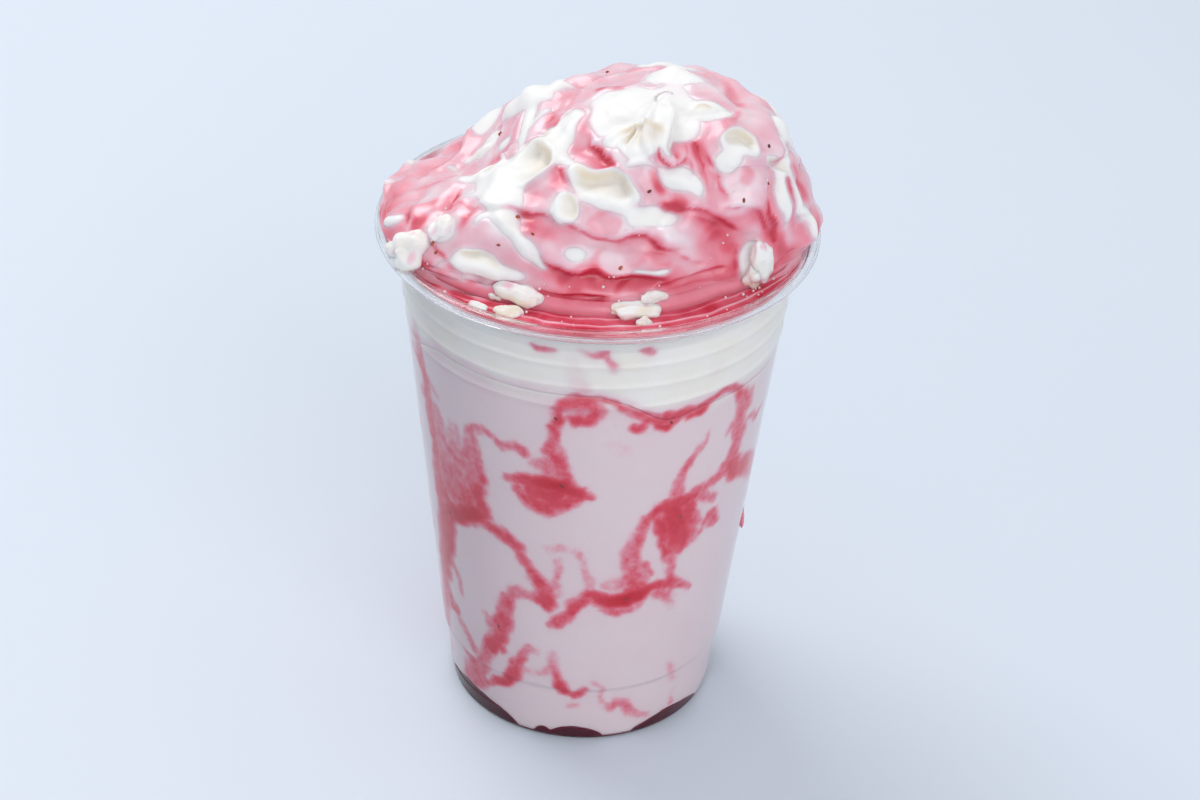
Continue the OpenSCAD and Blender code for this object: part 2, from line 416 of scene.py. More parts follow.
def cream_finish():
    """Whipped cream: white with a breath of yellow, biscuit tan that in the scoops is painted shade, pink
    where sauce touches it.
    """
    f = Finish("cream")
    place = f.place()
    cloud = f.noise(place, size=9.0, detail=3.0)
    white = f.mix(cloud, WHITE_CREAM, WARM_CREAM)
    # the tan field mixes in biscuit: a warm tint, and painted shade in the scoops' hollows
    warm_and_shaded = f.mix(f.field("tan") * (0.35 + cloud * 0.5), white, BISCUIT_AND_SHADE)
    tone = f.field("tone")
    fine = f.noise(place, size=1.8, detail=3.0)
    amount = tone + (fine - 0.5) * 0.2 * (tone * 4).clamp()
    pink = f.mix((tone * 8).clamp(), warm_and_shaded, f.ramp(amount, TONES_OF_SAUCE))
    sauce = f.field("sauce")
    grain = (f.noise(place, size=1.5, detail=4.0, rough=0.6) - 0.5) * sauce * 0.8
    streaked = f.mix((sauce * 3).clamp(), pink, f.ramp(sauce + grain, TONES_AT_WALL))
    pores = f.noise(place, size=0.7, detail=4.0, rough=0.65)
    swell = f.noise(place, size=3.0, detail=2.0)
    height = pores * 0.5 + swell * 0.8
    return f.finish(f.surface(
        Base_Color=streaked, Roughness=0.42, Specular_IOR_Level=0.3, Normal=f.bump(height, 0.09),
        Subsurface_Weight=0.45, Subsurface_Radius=(1.0, 0.85, 0.75), Subsurface_Scale=0.0025,
    ))


def glaze_finish():
    """Strawberry sauce over cream: milky pink where thin, red where it gathers, wet all over."""
    f = Finish("strawberry_glaze")
    place = f.place()
    tone = f.field("tone")
    swirl = f.noise(place, size=11.0, detail=3.0, rough=0.5, warp=0.8)
    fine = f.noise(place, size=1.7, detail=4.0, rough=0.6)
    amount = tone + ((swirl - 0.5) * 0.2 + (fine - 0.5) * 0.1) * (tone * 5).clamp()
    colour = f.ramp(amount, TONES_OF_SAUCE)
    height = f.noise(place, size=2.6, detail=3.0) * 0.7 + fine * 0.3
    return f.finish(f.surface(
        Base_Color=colour, Roughness=0.26, Normal=f.bump(height, 0.14),
        Coat_Weight=0.25, Coat_Roughness=0.06,
        Subsurface_Weight=0.5, Subsurface_Radius=(1.0, 0.45, 0.45), Subsurface_Scale=0.003,
    ))


def pool_finish():
    """Deep red sauce that stands in a pool: streaked pink where cream has melted into it, with paler
    painted sheen on its left.
    """
    f = Finish("red_sauce")
    place = f.place()
    tone = f.field("tone")
    swirl = f.noise(place, size=5.0, detail=4.0, rough=0.55, warp=1.2)
    colour = f.ramp(tone + (swirl - 0.5) * 0.3, TONES_OF_SAUCE)
    height = f.noise(place, size=3.0, detail=2.0)
    return f.finish(f.surface(
        Base_Color=colour, Roughness=0.1, Specular_IOR_Level=0.35, Normal=f.bump(height, 0.2),
        Coat_Weight=0.12, Coat_Roughness=0.03,
        Subsurface_Weight=0.15, Subsurface_Radius=(1.0, 0.25, 0.3), Subsurface_Scale=0.002,
    ))


def syrup_finish():
    """Dark syrup at the foot: nearly black maroon, redder where the layer is thin."""
    f = Finish("dark_syrup")
    place = f.place()
    thin = f.field("thin") + (f.noise(place, size=2.0, detail=3.0) - 0.5) * 0.4
    colour = f.ramp(thin, TONES_OF_SYRUP)
    ripple = f.bump(f.noise(place, size=1.5), 0.1)
    return f.finish(f.surface(Base_Color=colour, Roughness=0.3, Specular_IOR_Level=0.05, Normal=ripple))


def seed_finish():
    """Strawberry seeds: glossy brown red, each with its own shade."""
    f = Finish("seeds")
    shade = f.noise(f.place(), size=3.0, detail=1.0)
    colour = f.ramp(shade, TONES_OF_SEEDS)
    dimples = f.bump(f.noise(f.place(), size=0.3), 0.05)
    return f.finish(f.surface(Base_Color=colour, Roughness=0.3, Normal=dimples))


# ------------------------------------------------------------------------ the drink inside the cup

N_AZ = 420
AZ = np.arange(N_AZ) * 360 / N_AZ
SHAKE_ROWS = 151
CREAM_ROWS = 46
MEET_SHARES = (0.02, 0.25, 0.5, 0.75, 0.9, 0.997)

# azimuth and half width of the high stretches of the cream's lower edge, and of its dip
HIGH_SIDE, HIGH_BACK, LOW_SPOT = (245, 62), (80, 56), (293, 13)
CREAM_DEPTH = 26.2
CREAM_STEP = 6.4
CREAM_MID_DEPTH = 19.0
SYRUP_FILM = 0.4
SYRUP_PEAK = 5.0
# azimuth, half width in degrees, and share of the highest lobe
SYRUP_LOBES = [
    (216, 27, 1.0), (255, 4, 0.42), (269, 12, 0.62), (314, 20, 0.66), (20, 30, 0.5), (92, 36, 0.75),
    (150, 22, 0.4),
]


def meet_z(a):
    """Height where cream meets shake at the wall: high on the left of the front, low on its right."""
    high = np.minimum(1, 1.7 * bump(a, *HIGH_SIDE)) + 0.5 * bump(a, *HIGH_BACK)
    return CUP_H - CREAM_DEPTH + CREAM_STEP * (high - 0.4 * bump(a, *LOW_SPOT))


def meet(a, share):
    """The surface between cream and shake, at a share of the wall's radius: flat in the middle."""
    z = meet_z(a)
    middle = CUP_H - CREAM_MID_DEPTH
    return point(a, (inner_r(z) + SINK) * share, middle + (z - middle) * share**2)


def syrup_z(a):
    """Height of the syrup's edge at the wall: a film, with lobes that have flat tops."""
    climb = np.max([
        share * np.clip(1 - (turn(a, centre) / width) ** 2, 0, 1) ** 0.7
        for centre, width, share in SYRUP_LOBES
    ], 0)
    ragged = 0.35 * waves(point(a, FOOT_R, 0), 9.0, 5) * climb
    return FLOOR_T + SYRUP_FILM + SYRUP_PEAK * climb + ragged


# Sauce on the inside of the wall. Each run is a route of points:
# azimuth, height, half of its width, and how strong its colour is.
RUNS = [
    # left edge, from the cream down to the foot
    [(203, 102, 2.0, .25), (205, 97, 1.8, .5), (207, 91, 1.6, .62), (208, 84, 1.6, .66),
     (208, 76, 1.7, .62), (209, 68, 2.2, .62), (211, 61, 3.0, .66), (212, 54, 3.2, .74),
     (209, 47, 3.2, .78), (206, 40, 3.0, .78), (203, 32, 2.8, .62), (200, 25, 2.8, .52),
     (197, 17, 2.8, .46)],
    [(198, 96, 1.0, .5), (204, 94, 1.2, .66), (209, 92, 1.4, .4), (214, 90, 1.2, .22)],
    [(203, 87, 1.2, .3), (207, 86, 1.2, .62)],
    [(206, 32, .8, .5), (209, 28, 1.0, .7), (213, 27.5, .9, .62)],
    [(212, 41, .9, .45), (216, 38, .8, .4), (217, 34, .7, .36)],
    [(214, 25, .8, .4), (219, 22, 1.0, .45), (222, 19, 1.2, .4)],
    # veil beside it, and its dark lower edge
    [(212, 84, 2.6, .36), (213, 76, 4.0, .42), (215, 68, 4.6, .50), (221, 66, 4.0, .56),
     (228, 66, 3.0, .62)],
    [(222, 84, 2.0, .30), (223, 77, 4.6, .40), (222, 70, 4.6, .50)],
    [(229, 84, 1.4, .40), (230, 77, 2.4, .44), (230, 70, 2.6, .56)],
    [(231, 86, 1.3, .45), (232.5, 80, 1.4, .48), (233.5, 74, 1.3, .66), (231.5, 68, 1.6, .66),
     (233, 64, 1.6, .78)],
    [(210, 53, 2.2, .76), (215, 56.5, 2.2, .84), (220, 59, 2.2, .92), (226, 61, 2.0, .96),
     (231, 62.5, 1.7, .92), (234, 63.5, 1.2, .72)],
    [(233, 61.5, 1.4, .7), (238, 60.5, 1.5, .68), (243, 59, 1.5, .68), (247, 57, 1.2, .66),
     (250.5, 53.5, 1.1, .62), (254, 49.5, 1.5, .72), (257, 47, 1.6, .66), (259, 43, 1.5, .72),
     (259.5, 41, .9, .6)],
    # thin arc to the centre
    [(230, 85, .8, .5), (232, 87, .9, .5), (236, 88, .9, .46), (240, 87.5, .8, .45), (243, 85.5, .7, .42),
     (247, 86.5, .8, .52), (251, 85.5, .7, .56)],
    # loop and stem at the centre
    [(259.5, 96, 1.3, .78), (260, 99, 1.1, .62), (263, 101.5, 1.2, .6), (267, 102, 1.3, .66),
     (271, 101.5, 1.5, .68), (272.5, 99, 1.3, .6), (269, 97, 1.5, .74), (266, 96.5, 1.1, .8),
     (263, 97.5, .8, .5)],
    [(264, 99.5, 1.6, .4), (268, 99.5, 1.6, .45)],
    [(259.5, 96, 1.2, .76), (259, 91, 1.3, .62), (259, 87, 1.3, .62), (260.5, 85, 1.2, .76),
     (262, 81, 1.7, .62), (264, 78, 1.6, .72)],
    [(255, 83, 1.2, .42), (258, 84, 1.4, .5), (259, 81, 1.8, .56)],
    # triangular patch
    [(243.5, 77, .7, .5), (250, 77.5, 1.7, .74), (256, 78, 1.8, .92), (262, 78, 1.8, .98),
     (267, 76.5, 1.3, .84), (271, 75, .5, .6)],
    [(248, 74, 1.4, .62), (252, 72.5, 1.8, .68), (258, 72, 2.0, .72), (263, 73.5, 1.7, .76),
     (267, 75, 1.0, .7)],
    [(253, 75.5, 2.2, .76), (260, 75.5, 2.4, .84)],
    # lower left
    [(258, 44, 1.5, .66), (252, 44.5, 1.5, .5), (246, 44.5, 1.4, .5), (242.5, 42.5, 1.3, .5),
     (240.5, 38, 1.6, .56), (238.5, 33, 1.8, .6), (236, 29, 1.9, .6), (235, 26, 1.6, .74),
     (232, 22.5, 1.3, .76), (229.5, 20, 1.2, .5), (225, 15, 1.8, .42), (219, 11, 2.8, .5),
     (214, 8, 2.2, .5)],
    [(234, 25, 1.2, .8), (237, 24, .9, .66), (239, 23.5, .4, .5)],
    [(231, 33, .8, .36), (233, 30, 1.2, .5)],
    [(214, 15, 1.2, .42), (218, 14, 1.6, .5), (222, 12, 1.8, .46), (225, 9, 1.8, .46), (218, 8, 2.2, .52)],
    [(253, 27, .8, .34), (250, 27.5, .9, .4), (246.5, 24, 1.0, .6), (244.5, 20.5, 1.3, .64),
     (241, 17, 1.6, .76), (237, 13.5, 1.1, .78), (231, 12, .9, .55), (226, 9, 1.1, .46)],
    [(259, 27, .6, .26), (259.5, 22.5, 1.1, .42), (262, 19, 1.2, .55), (264, 15.5, 1.0, .80),
     (267, 14.2, .8, .66), (270, 15, .8, .7), (271.5, 16.8, .5, .4)],
    [(246, 21, .8, .3), (253, 20.5, .8, .28), (258, 22, .8, .34)],
    [(266, 11, .6, .26), (269, 11, .6, .3)],
    # lower right of the front
    [(276, 19, .8, .2), (279, 17, .7, .26), (280, 11.5, .7, .34), (284, 9.5, .9, .44), (287, 11, 1.0, .5),
     (290, 10, 1.2, .52), (293, 7, 1.2, .42), (297, 5.5, .9, .34), (301, 5, .8, .3)],
    [(308, 21, .8, .2), (310, 18, .9, .26), (312.5, 14, .8, .2)],
    [(312, 10, .6, .2), (313.5, 6, .6, .3)],
    # along the underside of the cream
    [(271, 102.5, .7, .5), (275, 102.7, .5, .66), (279, 101, .6, .66), (283, 98.5, .9, .62),
     (287, 96.5, 1.0, .66), (292, 95.5, 1.0, .78), (297, 97, .9, .76), (303, 97.3, .8, .74),
     (309, 97.8, .5, .66), (315, 97.8, .4, .62), (320, 96.5, .8, .62), (324, 94, 1.5, .64),
     (326, 91, 1.8, .6), (324, 87, 1.9, .5), (326, 82, 1.9, .54), (324, 77, 2.2, .64)],
    [(282, 95, .6, .6), (284.5, 94, .9, .72), (287, 95, .6, .6)],
    [(291, 94.5, .8, .76), (294, 94, .9, .92), (297, 95.5, .6, .7)],
    [(301, 96, .8, .8), (304.5, 96, .9, .84), (308, 97, .5, .66)],
    [(277, 90, 1.4, .12), (281, 88.5, 1.6, .16)],
    [(322, 97, .7, .3), (327, 94, 1.2, .4), (329, 90, .8, .3)],
    [(318, 86, .7, .3), (322, 88, .9, .42)],
    # right edge, round to the back
    [(319, 75, 1.3, .56), (324, 74.5, 2.2, .76), (330, 72, 2.4, .74), (336, 69.5, 2.4, .66),
     (343, 66.5, 2.6, .55), (352, 63, 2.4, .5)],
    [(330, 85, .6, .4), (335, 83, .8, .5), (340, 85, .6, .4)],
    [(314, 60.5, 1.0, .46), (318, 62, 1.8, .62), (320, 60, 1.3, .56)],
    [(309, 57.5, .7, .36), (313, 59, .9, .4)],
    # big patch on the right with its arms
    [(320, 74, 1.2, .58), (315, 73, 1.2, .5), (309, 72, 1.4, .56), (304, 70.5, 1.9, .72),
     (299, 70.5, 1.9, .78), (294, 70, 1.6, .74), (290.5, 68, 1.2, .6), (287.5, 63.5, 1.2, .5),
     (286, 58, 1.6, .5), (287, 52, 2.1, .58), (289, 47, 2.0, .66)],
    [(299, 69, 1.9, .84), (302, 64, 2.5, .86), (304, 59, 2.2, .8), (303, 56, 1.2, .6)],
    [(295, 67, 1.3, .78), (298, 61, 1.2, .7), (300, 56, 1.2, .6), (301.5, 51, 1.2, .44),
     (303, 47.5, 1.1, .6)],
    [(306, 68, 2.0, .7), (308, 62, 2.2, .64), (306, 58, 1.4, .56)],
    [(312, 70, 1.4, .5), (316, 68, 1.2, .46)],
    [(301, 72, 1.5, .56), (300.5, 77, 1.3, .48), (304, 81, .9, .52), (307, 84, .9, .44),
     (309, 88, .6, .22)],
    [(290, 55, .7, .54), (293, 51, .7, .5)],
    # long smear below it
    [(259.5, 36, .6, .5), (262.5, 37, 1.2, .66), (266, 40.5, 1.0, .66), (268.5, 44, 1.0, .64),
     (271, 46.2, .9, .72), (275, 45, 1.4, .84), (280, 44.3, 1.7, .94), (285.5, 44.6, 1.9, 1.0),
     (290, 45.6, 1.6, .94), (295, 47, 1.1, .76), (300, 46.2, 1.0, .66), (304, 46.2, 1.2, .7),
     (308, 44.5, .8, .6), (312, 42, .4, .34)],
    [(277, 42.5, .9, .5), (283, 41, 1.4, .5), (290, 42, 1.0, .44)],
    [(277, 49, 1.0, .3), (284, 50, 1.6, .44), (289, 50.5, 1.4, .48)],
    [(296, 45, .9, .4), (303, 43, 1.2, .5), (306, 39, .8, .2)],
    [(258, 59, .8, .2), (262, 60, .9, .26), (267, 59.5, .9, .28), (270, 56, .8, .26), (271.5, 50, .9, .3),
     (272, 47, .8, .4)],
    [(261, 56, .8, .3), (260.5, 50, 1.0, .34), (263, 45, .7, .26)],
    # smears in the cream under the rim
    [(254, 116, .5, .4), (256, 114.6, .8, .55), (259, 114.2, .6, .4)],
    [(267, 115, 1.0, .2), (271, 114.6, .6, .42), (275, 115.5, .5, .5), (276, 112, .5, .42),
     (277, 110, .4, .2)],
    [(284.5, 115.3, 1.0, .45), (287, 114.6, .8, .4)],
    [(264, 112, 1.6, .08), (266, 107, 2.0, .14), (268, 104.5, 1.6, .22)],
    [(309, 107, .8, .06), (308, 105, .6, .08)],
]
# the same round the back, with azimuths that run on past 360
BACK_RUNS = [
    [(350, 60, 1.4, .5), (356, 54, 1.8, .6), (363, 50, 1.4, .55), (371, 44, 1.8, .7), (378, 35, 2.4, .8),
     (384, 27, 1.6, .66), (380, 20, 1.2, .5), (385, 12, 1.4, .5)],
    [(371, 44, 1.0, .6), (379, 46, 1.2, .66), (388, 51, 1.5, .7), (396, 49, 2.2, .8), (405, 43, 1.4, .6)],
    [(355, 28, .8, .35), (360, 22, 1.1, .5), (366, 17, 1.0, .6), (372, 10, 1.2, .45)],
    [(366, 76, 1.0, .45), (372, 84, 1.3, .6), (380, 88, 1.0, .5), (386, 82, .8, .4)],
    [(352, 96, 1.0, .5), (358, 92, 1.4, .6), (362, 84, 1.2, .5), (360, 78, 1.6, .6)],
    [(532, 98, 1.2, .5), (540, 92, 1.8, .66), (546, 84, 2.0, .6), (549, 74, 2.6, .7), (546, 66, 2.0, .74)],
    [(534, 60, 1.2, .5), (541, 57, 1.6, .6), (548, 53, 1.8, .74), (553, 45, 1.4, .6)],
    [(540, 36, 1.0, .45), (547, 32, 1.6, .62), (552, 25, 1.8, .7), (548, 16, 1.6, .5), (553, 9, 1.6, .5)],
]
STRETCH, WIDEN = 1.08, 0.35             # every half width times the first, plus the second
HALO_SHARE = 0.26                       # how strong the haze round a run is
HALO_REACH, HALO_FADE = 2.4, 3.2        # how far the haze goes, and over what distance it fades
HIDDEN_FROM, HIDDEN_TO = 190.0, 350.0   # the front's own runs lie between these azimuths


def front_azimuth(a):
    """The azimuth whose sauce a point shows: its own in front, and round the back the front's runs
    once more, turned the other way and drawn out, so that they join up at both sides."""
    behind = HIDDEN_FROM - ((a + 10) % 360 - 10)
    share = (HIDDEN_TO - HIDDEN_FROM) / (360 - HIDDEN_TO + HIDDEN_FROM)
    hidden = (a % 360 < HIDDEN_FROM) | (a % 360 > HIDDEN_TO)
    return np.where(hidden, HIDDEN_FROM + behind * share, a % 360)


def sauce_on_wall(a, z):
    """How strong the sauce's colour is at the wall, from 0 to 1: the strongest of all runs, each
    full inside its width and fading over a soft edge into a haze. The runs are wavered a little,
    and more so round the back."""
    spot = point(a, inner_r(z), z)
    behind = smooth((100 - turn(a, 90)) / 40)
    front = front_azimuth(a) + (0.8 + 5 * behind) * waves(spot, 11, 21) + 0.5 * waves(spot, 4, 22)
    back = (a - 200) % 360 + 200 + 1.2 * waves(spot, 9, 25)
    y = z + (0.5 + 4 * behind) * waves(spot, 12, 23) + 0.28 * waves(spot, 3.5, 24)
    per_degree = inner_r(z) * math.pi / 180
    amount = np.zeros_like(y)
    for run, x in [(run, front) for run in RUNS] + [(run, back) for run in BACK_RUNS]:
        for (a0, z0, w0, s0), (a1, z1, w1, s1) in zip(run, run[1:]):
            dx, dz = (a1 - a0) * per_degree, z1 - z0
            px, pz = (x - a0) * per_degree, y - z0
            t = np.clip((px * dx + pz * dz) / (dx * dx + dz * dz), 0, 1)
            gap = np.hypot(px - t * dx, pz - t * dz)
            half = WIDEN + STRETCH * (w0 + t * (w1 - w0))
            soft = 0.7 + 0.38 * half
            cover = smooth((half - gap) / (2 * soft) + 0.5)
            strength = s0 + t * (s1 - s0)
            halo = HALO_SHARE * smooth((half + HALO_REACH - gap) / HALO_FADE)
            amount = np.maximum(amount, strength * np.maximum(cover, halo))
    return amount


def make_shake():
    """The shake: circles round the cup whose radius follows the floor, the groove and the wall up to
    the cream, then shrinks under the cream. Its fields give the sauce, and cream near the top."""
    low, high = syrup_z(AZ), meet_z(AZ)
    rise = np.linspace(0, 1, SHAKE_ROWS)[:, None]
    wall_z = low + (high - low) * rise
    side = point(AZ, filled_r(wall_z), wall_z)
    groove = point(AZ, FOOT_R - FOOT_RING_W - 2 * SYRUP_FILM, FLOOR_T + SYRUP_FILM)
    under = point(AZ, FOOT_R - FOOT_RING_W * 0.55, FLOOR_T + SYRUP_FILM + 0.2)
    rows = [point(AZ, 1.0, FLOOR_Z), point(AZ, PUNT_R, FLOOR_Z), groove, under]
    wall = slice(len(rows), len(rows) + SHAKE_ROWS)
    rows += [*side, *(meet(AZ, share) for share in reversed(MEET_SHARES))]
    sauce = np.zeros((len(rows), N_AZ))
    cream = np.zeros((len(rows), N_AZ))
    sauce[wall] = sauce_on_wall(np.broadcast_to(AZ, wall_z.shape), wall_z)
    near = 3.6 + 1.6 * waves(side, 12, 31)
    clean = (1 - sauce[wall]).clip(0, 1) ** 2
    cream[wall] = 0.5 * clean * smooth((wall_z - high + near) / near.clip(1.0))
    cream[wall.stop:] = 1
    points, faces = skin(rows)
    fields = {"sauce": with_poles(sauce), "cream": with_poles(cream)}
    piece = make_piece("shake_body", points, faces, shake_finish(), fields)
    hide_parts("milkshake")


def make_syrup():
    """Dark syrup in the groove round the floor: a closed ring, whose section runs along the groove's
    bed, climbs the wall to the syrup's edge and slopes back down. It is thin near that edge."""
    top = syrup_z(AZ)
    section = [
        point(AZ, FOOT_R - FOOT_RING_W - 2 * SYRUP_FILM, FLOOR_T + SYRUP_FILM - SINK),
        point(AZ, FOOT_R - FOOT_RING_W, FLOOR_T - SINK),
        point(AZ, inner_r(FLOOR_T) + SINK, FLOOR_T - SINK),
    ]
    climb = np.linspace(0, 1, 9)[1:, None]
    wall_z = FLOOR_T + (top - FLOOR_T) * climb
    wall = slice(len(section), len(section) + len(climb))
    section += list(point(AZ, inner_r(wall_z) + SINK + 0.03, wall_z))
    for share in (0.35, 0.7):
        r = inner_r(top) + SINK - share * 0.45 * FOOT_RING_W
        section.append(point(AZ, r, top + (FLOOR_T + SYRUP_FILM - top) * share))
    section.append(point(AZ, FOOT_R - FOOT_RING_W * 0.6, FLOOR_T + SYRUP_FILM))
    faces = grid_faces(len(section), N_AZ, looped=True)
    thin = np.zeros((len(section), N_AZ))
    thin[wall] = 0.7 * smooth(1 - (top - wall_z))
    points = np.asarray(section).reshape(-1, 3)
    piece = make_piece("settled_syrup", points, faces, syrup_finish(), {"thin": thin})
    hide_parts("base_syrup")


# ------------------------------------------------------------------------------- the cream's mound

MOUND_H = 31.5
LEAN_X = 14.5
FALL, FALL_X, FALL_Y = 1.15, 0.33, 0.14     # power of the radius's cosine, and its change round the cup
RISE_POWER = 1.55
LEAN_POWER = 1.3
SPILL = 1.7
# azimuth, half width and share of the stretches where the cream lies over the rim
SPILLS = [(182, 50, 1.0), (2, 46, 1.0), (90, 60, 0.5)]
FOLD_H = 0.9
FOLD_TURNS = 3.6
FOLD_START = 0.12
POOL_W = 9.0
POOL_DEPTH = 2.4
POOL_AZ, POOL_HALF = 278, 82                # azimuth of the pool's middle, and half of its width
POOL_FROM, POOL_TO = 199.5, 356.5           # azimuths of the pool's tips
# rings in the pool's surface: place from 0 at the wall to 1 at the cream, width, and height
RINGS = [(0.36, 0.035, 1.0), (0.62, 0.02, 0.7), (0.1, 0.03, 0.8)]
LEDGE_W = 0.4
OVER_RIM = 0.15
LOBE_RISE = 0.16
# azimuth, rise, half width in degrees, and height
CREAM_LOBES = [
    (205, .16, 34, 1.6), (236, .38, 36, 2.4), (318, .50, 34, 2.2), (75, .45, 46, 2.4),
    (278, .74, 40, 2.0), (146, .52, 24, 1.4), (190, .44, 36, -3.4), (160, .32, 35, -6.0),
    (12, .36, 26, -0.6), (110, .20, 40, 1.5), (167, .10, 22, 2.0), (352, .12, 26, 1.2),
]


def pooled(a):
    """How strongly the sauce pools inside the rim, from 0 to 1."""
    return np.minimum(1, 1.6 * bump(a, POOL_AZ, POOL_HALF))


def mound(a, u):
    """The mound without its small shapes: its radius falls as a power of a cosine and its height
    grows as a power of a sine, swollen by a climbing fold and broad lobes, and it leans to +X."""
    a, u = np.broadcast_arrays(np.asarray(a, float), np.asarray(u, float))
    foot = BEAD_IN_R - OVER_RIM - (POOL_W + LEDGE_W) * pooled(a)
    foot += (SPILL + OVER_RIM) * sum(share * bump(a, centre, width) for centre, width, share in SPILLS)
    side = np.clip(np.cos(math.pi / 2 * u), 0, 1)
    up = np.sin(math.pi / 2 * u)
    fold = np.abs(np.sin(math.pi * (FOLD_TURNS * u + a / 360 + FOLD_START))) ** 0.7 - 0.6
    lobes = sum(h * bump(a, c, w) * bell(u - rise, LOBE_RISE) for c, rise, w, h in CREAM_LOBES)
    grow = np.minimum(1, u / 0.08)
    shut = np.minimum(1, (1 - u) / 0.12)
    swell = grow * (FOLD_H * fold * shut + lobes)
    r = foot * side ** (FALL - FALL_X * cos_deg(a) - FALL_Y * sin_deg(a)) + swell * side
    z = CUP_H + 2 * OVER_RIM + MOUND_H * up**RISE_POWER + swell * up
    return point(a, r, z) + np.stack([LEAN_X * u**LEAN_POWER, 0 * u, 0 * u], -1)


def foot_radius(a):
    """Radius of the mound's lowest edge."""
    foot = mound(a, 0.0)
    return np.hypot(foot[:, 0], foot[:, 1])


def tangents(a, u):
    """Unit vectors at a spot of the mound: round to the right, up the slope, and outwards."""
    step, last = 0.01, 0.995
    right = point(a + 90, 1.0, 0.0)
    rising = mound(a, min(u + step, last)) - mound(a, max(u - step, 0.0))
    rising -= right * (rising @ right)
    rising /= np.linalg.norm(rising)
    return right, rising, np.cross(right, rising)


def axes_on_mound(az, rise, heading):
    """Unit vectors at a spot of the mound: along a heading, across it, and outwards."""
    right, rising, outward = tangents(az, rise)
    along = right * cos_deg(heading) + rising * sin_deg(heading)
    across = rising * cos_deg(heading) - right * sin_deg(heading)
    return np.array([along, across, outward])


# Small shapes of the cream: kind, azimuth, rise, heading in degrees from the right towards the peak,
# half length, half width, height, and how bare of sauce each is
SHAPES = [
    # the peak: a smear, its curled edge, the hollow below it and the patch on its right
    ("smear", 247, .815, 4, 15.0, 10.5, 1.2, 1.15),
    ("smear", 272, .80, 0, 9.0, 8.0, 0.8, 1.1),
    ("smear", 75, .90, 0, 9.0, 5.0, 0.8, .9),
    ("scoop", 266, .685, 0, 6.2, 3.4, 0.9, .9),
    ("lobe", 335, .84, 300, 5.0, 3.2, 0.8, .95),
    ("scoop", 330, .845, 300, 2.2, 1.5, 0.5, .3),
    # right lobe and its dimple
    ("lobe", 330, .60, 300, 9.0, 7.0, 2.0, .0),
    ("scoop", 333, .645, 310, 4.4, 3.2, 2.4, .9),
    ("smear", 321, .585, 60, 3.6, 2.8, 0.5, .9),
    ("lobe", 324, .44, 0, 7.5, 4.0, 1.4, .0),
    # left shoulder: the big dollop with its arched hollow, the bump behind it
    ("lobe", 207, .44, 352, 14.0, 5.5, 2.2, 1.1),
    ("smear", 191, .405, 20, 5.0, 3.0, 0.5, .8),
    ("scoop", 209, .53, 325, 6.0, 5.0, 3.4, .95),
    ("smear", 170, .475, 60, 3.4, 1.8, 0.5, .75),
    ("lobe", 146, .52, 80, 10.0, 4.8, 1.8, 1.0),
    ("smear", 168, .37, 20, 17.0, 10.0, -2.0, .0),
    # middle: lens hollow, small curl, soft patches
    ("scoop", 256, .518, 350, 7.2, 3.3, 3.4, .95),
    ("smear", 259, .468, 350, 7.4, 1.8, 1.3, 1.0),
    ("lobe", 245.5, .415, 300, 3.8, 3.0, 2.0, .9),
    ("scoop", 246, .42, 300, 2.9, 2.1, 2.0, .3),
    ("smear", 284, .43, 352, 7.0, 3.2, 0.7, .8),
    ("smear", 272, .45, 350, 5.0, 2.0, 0.6, .5),
    ("smear", 220, .375, 2, 4.4, 1.2, 1.4, .85),
    ("smear", 257, .285, 330, 2.2, 1.8, 0.7, .75),
    ("smear", 286, .215, 350, 4.4, 0.9, 1.1, .9),
    # lower left
    ("lobe", 229, .16, 0, 6.0, 3.2, 1.6, .95),
    ("scoop", 229, .19, 0, 4.6, 1.7, 1.3, .9),
    ("lobe", 237, .155, 352, 4.2, 1.8, 1.0, .7),
    ("lobe", 212, .255, 72, 3.2, 2.2, 1.8, 1.0),
    ("smear", 205, .28, 60, 2.4, 1.8, 0.6, .45),
    ("lobe", 194, .155, 50, 3.8, 1.8, 1.4, 1.0),
    ("smear", 219, .10, 70, 3.0, 1.2, 0.6, .45),
    ("smear", 227, .06, 75, 3.0, 1.4, 0.5, .45),
    # right edge
    ("lobe", 339.5, .42, 80, 8.0, 1.3, 1.5, 1.0),
    ("lobe", 346, .30, 97, 8.0, 1.7, 1.6, 1.0),
    ("lobe", 325, .14, 82, 5.0, 3.4, 1.2, .9),
    ("lobe", 2, .60, 60, 4.0, 3.0, 1.6, .9),
    ("lobe", 352, .55, 70, 4.0, 2.0, 0.9, .75),
    # back
    ("lobe", 22, .50, 20, 9.0, 5.0, 1.8, .9),
    ("scoop", 38, .60, 350, 6.0, 4.0, 2.0, .8),
    ("lobe", 48, .30, 15, 9.0, 4.0, 1.6, .7),
    ("smear", 75, .64, 10, 9.0, 4.6, 1.0, .9),
    ("lobe", 90, .38, 5, 11.0, 4.6, 2.0, .4),
    ("scoop", 110, .32, 350, 6.0, 3.4, 2.2, .9),
    ("lobe", 120, .42, 20, 8.0, 4.4, 1.0, .95),
    ("smear", 136, .28, 30, 8.0, 3.6, 1.0, .9),
    ("lobe", 62, .14, 0, 9.0, 3.4, 1.4, .5),
    ("lobe", 100, .12, 10, 6.0, 2.8, 1.4, .8),
    ("smear", 15, .18, 20, 6.0, 2.6, 0.8, .7),
]

